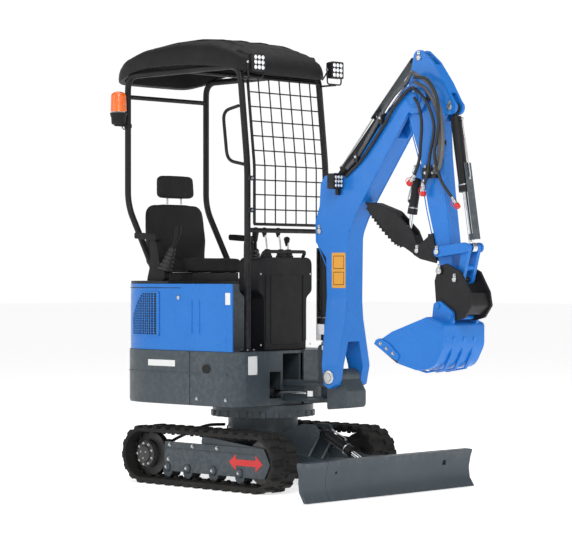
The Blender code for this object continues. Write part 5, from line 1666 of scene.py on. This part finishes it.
        boom = Piece("boom hoses", BRAID, HOSE, BLACK, ZINC)
        for index, x in enumerate((-0.064, 0.064)):
            line = [(x, -0.650, 1.600), (x * 1.05, -0.740, 1.675), (x * 1.08, -0.833, 1.789),
                    (x * 1.1, -0.900, 1.873), (x * 1.1, -0.965, 1.942), (x * 1.08, -1.020, 1.985),
                    (x * 1.08, -1.055, 2.010)]
            boom.use(index).sweep(flowing(line, 8), 0.0095 if index == 0 else 0.008, 16)
        low = [(-0.062, -0.640, 1.560), (-0.066, -0.760, 1.650), (-0.068, -0.898, 1.801),
               (-0.070, -0.960, 1.880), (-0.070, -1.020, 1.935), (-0.070, -1.055, 1.960)]
        boom.use(1).sweep(flowing(low, 8), 0.0080, 14)
        for y, z in ((-0.720, 1.655), (-0.880, 1.838)):
            boom.use(2).block((-0.078, y - 0.012, z - 0.030), (-0.0552, y + 0.012, z + 0.026))
            boom.use(3).bolt((-0.078, y, z - 0.002), (-1, 0, 0), 0.006)
        boom.done("boom", 0.0004)
        for index, (y0, z0, y1, z1, finish) in enumerate(((-1.050, 2.009, -1.123, 2.030, BRAID),
                                                          (-1.050, 1.958, -1.123, 1.958, HOSE))):
            link = Piece(f"head hose {index + 1}", finish)
            middle_y = (y0 + y1) / 2
            path = [(-0.0695, y0, z0), (-0.083, middle_y - 0.005, max(z0, z1) + 0.010), (-0.094, y1, z1)]
            link.sweep(flowing(path, 8), 0.0092 if index == 0 else 0.0078, 14)
            item = link.done("boom")
            item.parent = None
            item.pop("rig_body", None)
            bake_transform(item)

    def build(self) -> None:
        """Build all the working gear."""
        self.boom()
        self.arm()
        self.pin_ends()
        self.welds()
        self.bucket()
        self.hoses()
        for ram in (Ram("boom_cylinder", "boom_barrel", "boom_rod", (-0.454, 1.294), (-0.454, 0.710), 0.032,
                        0.460, 1), Ram("arm_cylinder", "arm_barrel", "arm_rod", (-0.530, 1.530),
                                       (-1.093, 2.117), 0.030, 0.452, -1, guard=True),
                    Ram("bucket_cylinder", "bucket_barrel", "bucket_rod", (-1.285, 1.868), (-1.392, 1.203),
                        0.026, 0.400, -1, guard=True), Ram("thumb_cylinder", "thumb_barrel", "thumb_rod",
                                                           (-1.062, 1.575), (-0.997, 1.258), 0.022, 0.205, 1),
                    Ram("blade_cylinder", "blade_barrel", "blade_rod", (-0.420, 0.292), (-0.780, 0.120),
                        0.026, 0.215, -1)):
            ram.build()
        dressed("swing_cylinder_barrel", "swing_barrel", BLACK, 0.0012, 35.0)
        dressed("swing_cylinder_rod", "swing_rod", CHROME, 0.0010, 35.0)


# ------------------------------------------------------------------ light and camera


@dataclass(frozen=True)
class Studio:
    """Pale floor, soft lights and the camera.

    Attributes:
        camera: the camera's place round the slew axis.
        aim: the direction it looks.
        lens: focal length in millimetres.
    """

    camera: Point = (-7.682, -7.703, 1.065)
    aim: Point = (0.7138, 0.7003, -0.0010)
    lens: float = 132.5

    def floor(self) -> None:
        """A wide pale floor."""
        data = bpy.data.meshes.new("floor")
        size = 60.0
        data.from_pydata([(-size, -size, -0.001), (size, -size, -0.001), (size, size, -0.001),
                          (-size, size, -0.001)], [], [(0, 1, 2, 3)])
        item = bpy.data.objects.new("floor", data)
        bpy.context.scene.collection.objects.link(item)
        paint = bpy.data.materials.new("pale floor")
        paint.use_nodes = True
        shader = paint.node_tree.nodes["Principled BSDF"]
        shader.inputs["Base Color"].default_value = (0.90, 0.90, 0.90, 1)
        shader.inputs["Emission Color"].default_value = (1, 1, 1, 1)
        shader.inputs["Emission Strength"].default_value = 0.66
        shader.inputs["Roughness"].default_value = 0.9
        shader.inputs["Specular IOR Level"].default_value = 0.1
        data.materials.append(paint)

    def lamp(self, name: str, place: Point, size: float, power: float) -> None:
        """One large soft lamp aimed at the machine.

        Args:
            name: its name.
            place: where it hangs.
            size: its width.
            power: its power in watts.
        """
        data = bpy.data.lights.new(name, "AREA")
        data.size = size
        data.energy = power
        item = bpy.data.objects.new(name, data)
        item.location = Vector(place) + SHIFT
        item.rotation_euler = (Vector((0, -0.3, 1.1)) - Vector(place)).to_track_quat("-Z", "Y").to_euler()
        bpy.context.scene.collection.objects.link(item)

    def build(self) -> None:
        """Set the floor, the lamps, the sky and the camera."""
        self.floor()
        self.lamp("key", (-5.0, -5.5, 6.0), 3.0, 330)
        self.lamp("fill", (-6.5, 3.5, 3.5), 4.0, 90)
        self.lamp("front", (3.0, -6.5, 3.0), 4.0, 80)
        self.lamp("top", (0.5, 0.5, 7.0), 5.0, 150)
        world = bpy.data.worlds.new("sky")
        world.use_nodes = True
        tree = world.node_tree
        back = tree.nodes["Background"]
        back.inputs["Color"].default_value = (1, 1, 1, 1)
        split = tree.nodes.new("ShaderNodeSeparateXYZ")
        tree.links.new(tree.nodes.new("ShaderNodeTexCoord").outputs["Generated"], split.inputs["Vector"])
        fade = tree.nodes.new("ShaderNodeMapRange")
        for name, value in (("From Min", 0.16), ("From Max", 0.34), ("To Min", 1.02), ("To Max", 0.26)):
            fade.inputs[name].default_value = value
        tree.links.new(split.outputs["Z"], fade.inputs["Value"])
        tree.links.new(fade.outputs["Result"], back.inputs["Strength"])
        bpy.context.scene.world = world
        bpy.context.scene.view_settings.view_transform = "Standard"
        lens = bpy.data.cameras.new("camera")
        lens.lens = self.lens
        lens.sensor_width = 36.0
        lens.clip_end = 200
        item = bpy.data.objects.new("camera", lens)
        item.location = Vector(self.camera) + SHIFT
        item.rotation_euler = Vector(self.aim).to_track_quat("-Z", "Y").to_euler()
        bpy.context.scene.collection.objects.link(item)
        bpy.context.scene.camera = item


def main() -> None:
    """Build every sub-assembly in order."""
    logging.basicConfig(level=logging.INFO)
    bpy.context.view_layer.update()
    for part in (Track(-1), Track(1), CarBody(), Blade(), House(), Seat(), Console(-1), Console(1),
                 ControlCover(), Canopy(), Gear(), Studio()):
        part.build()


if __name__ == "__main__":
    main()
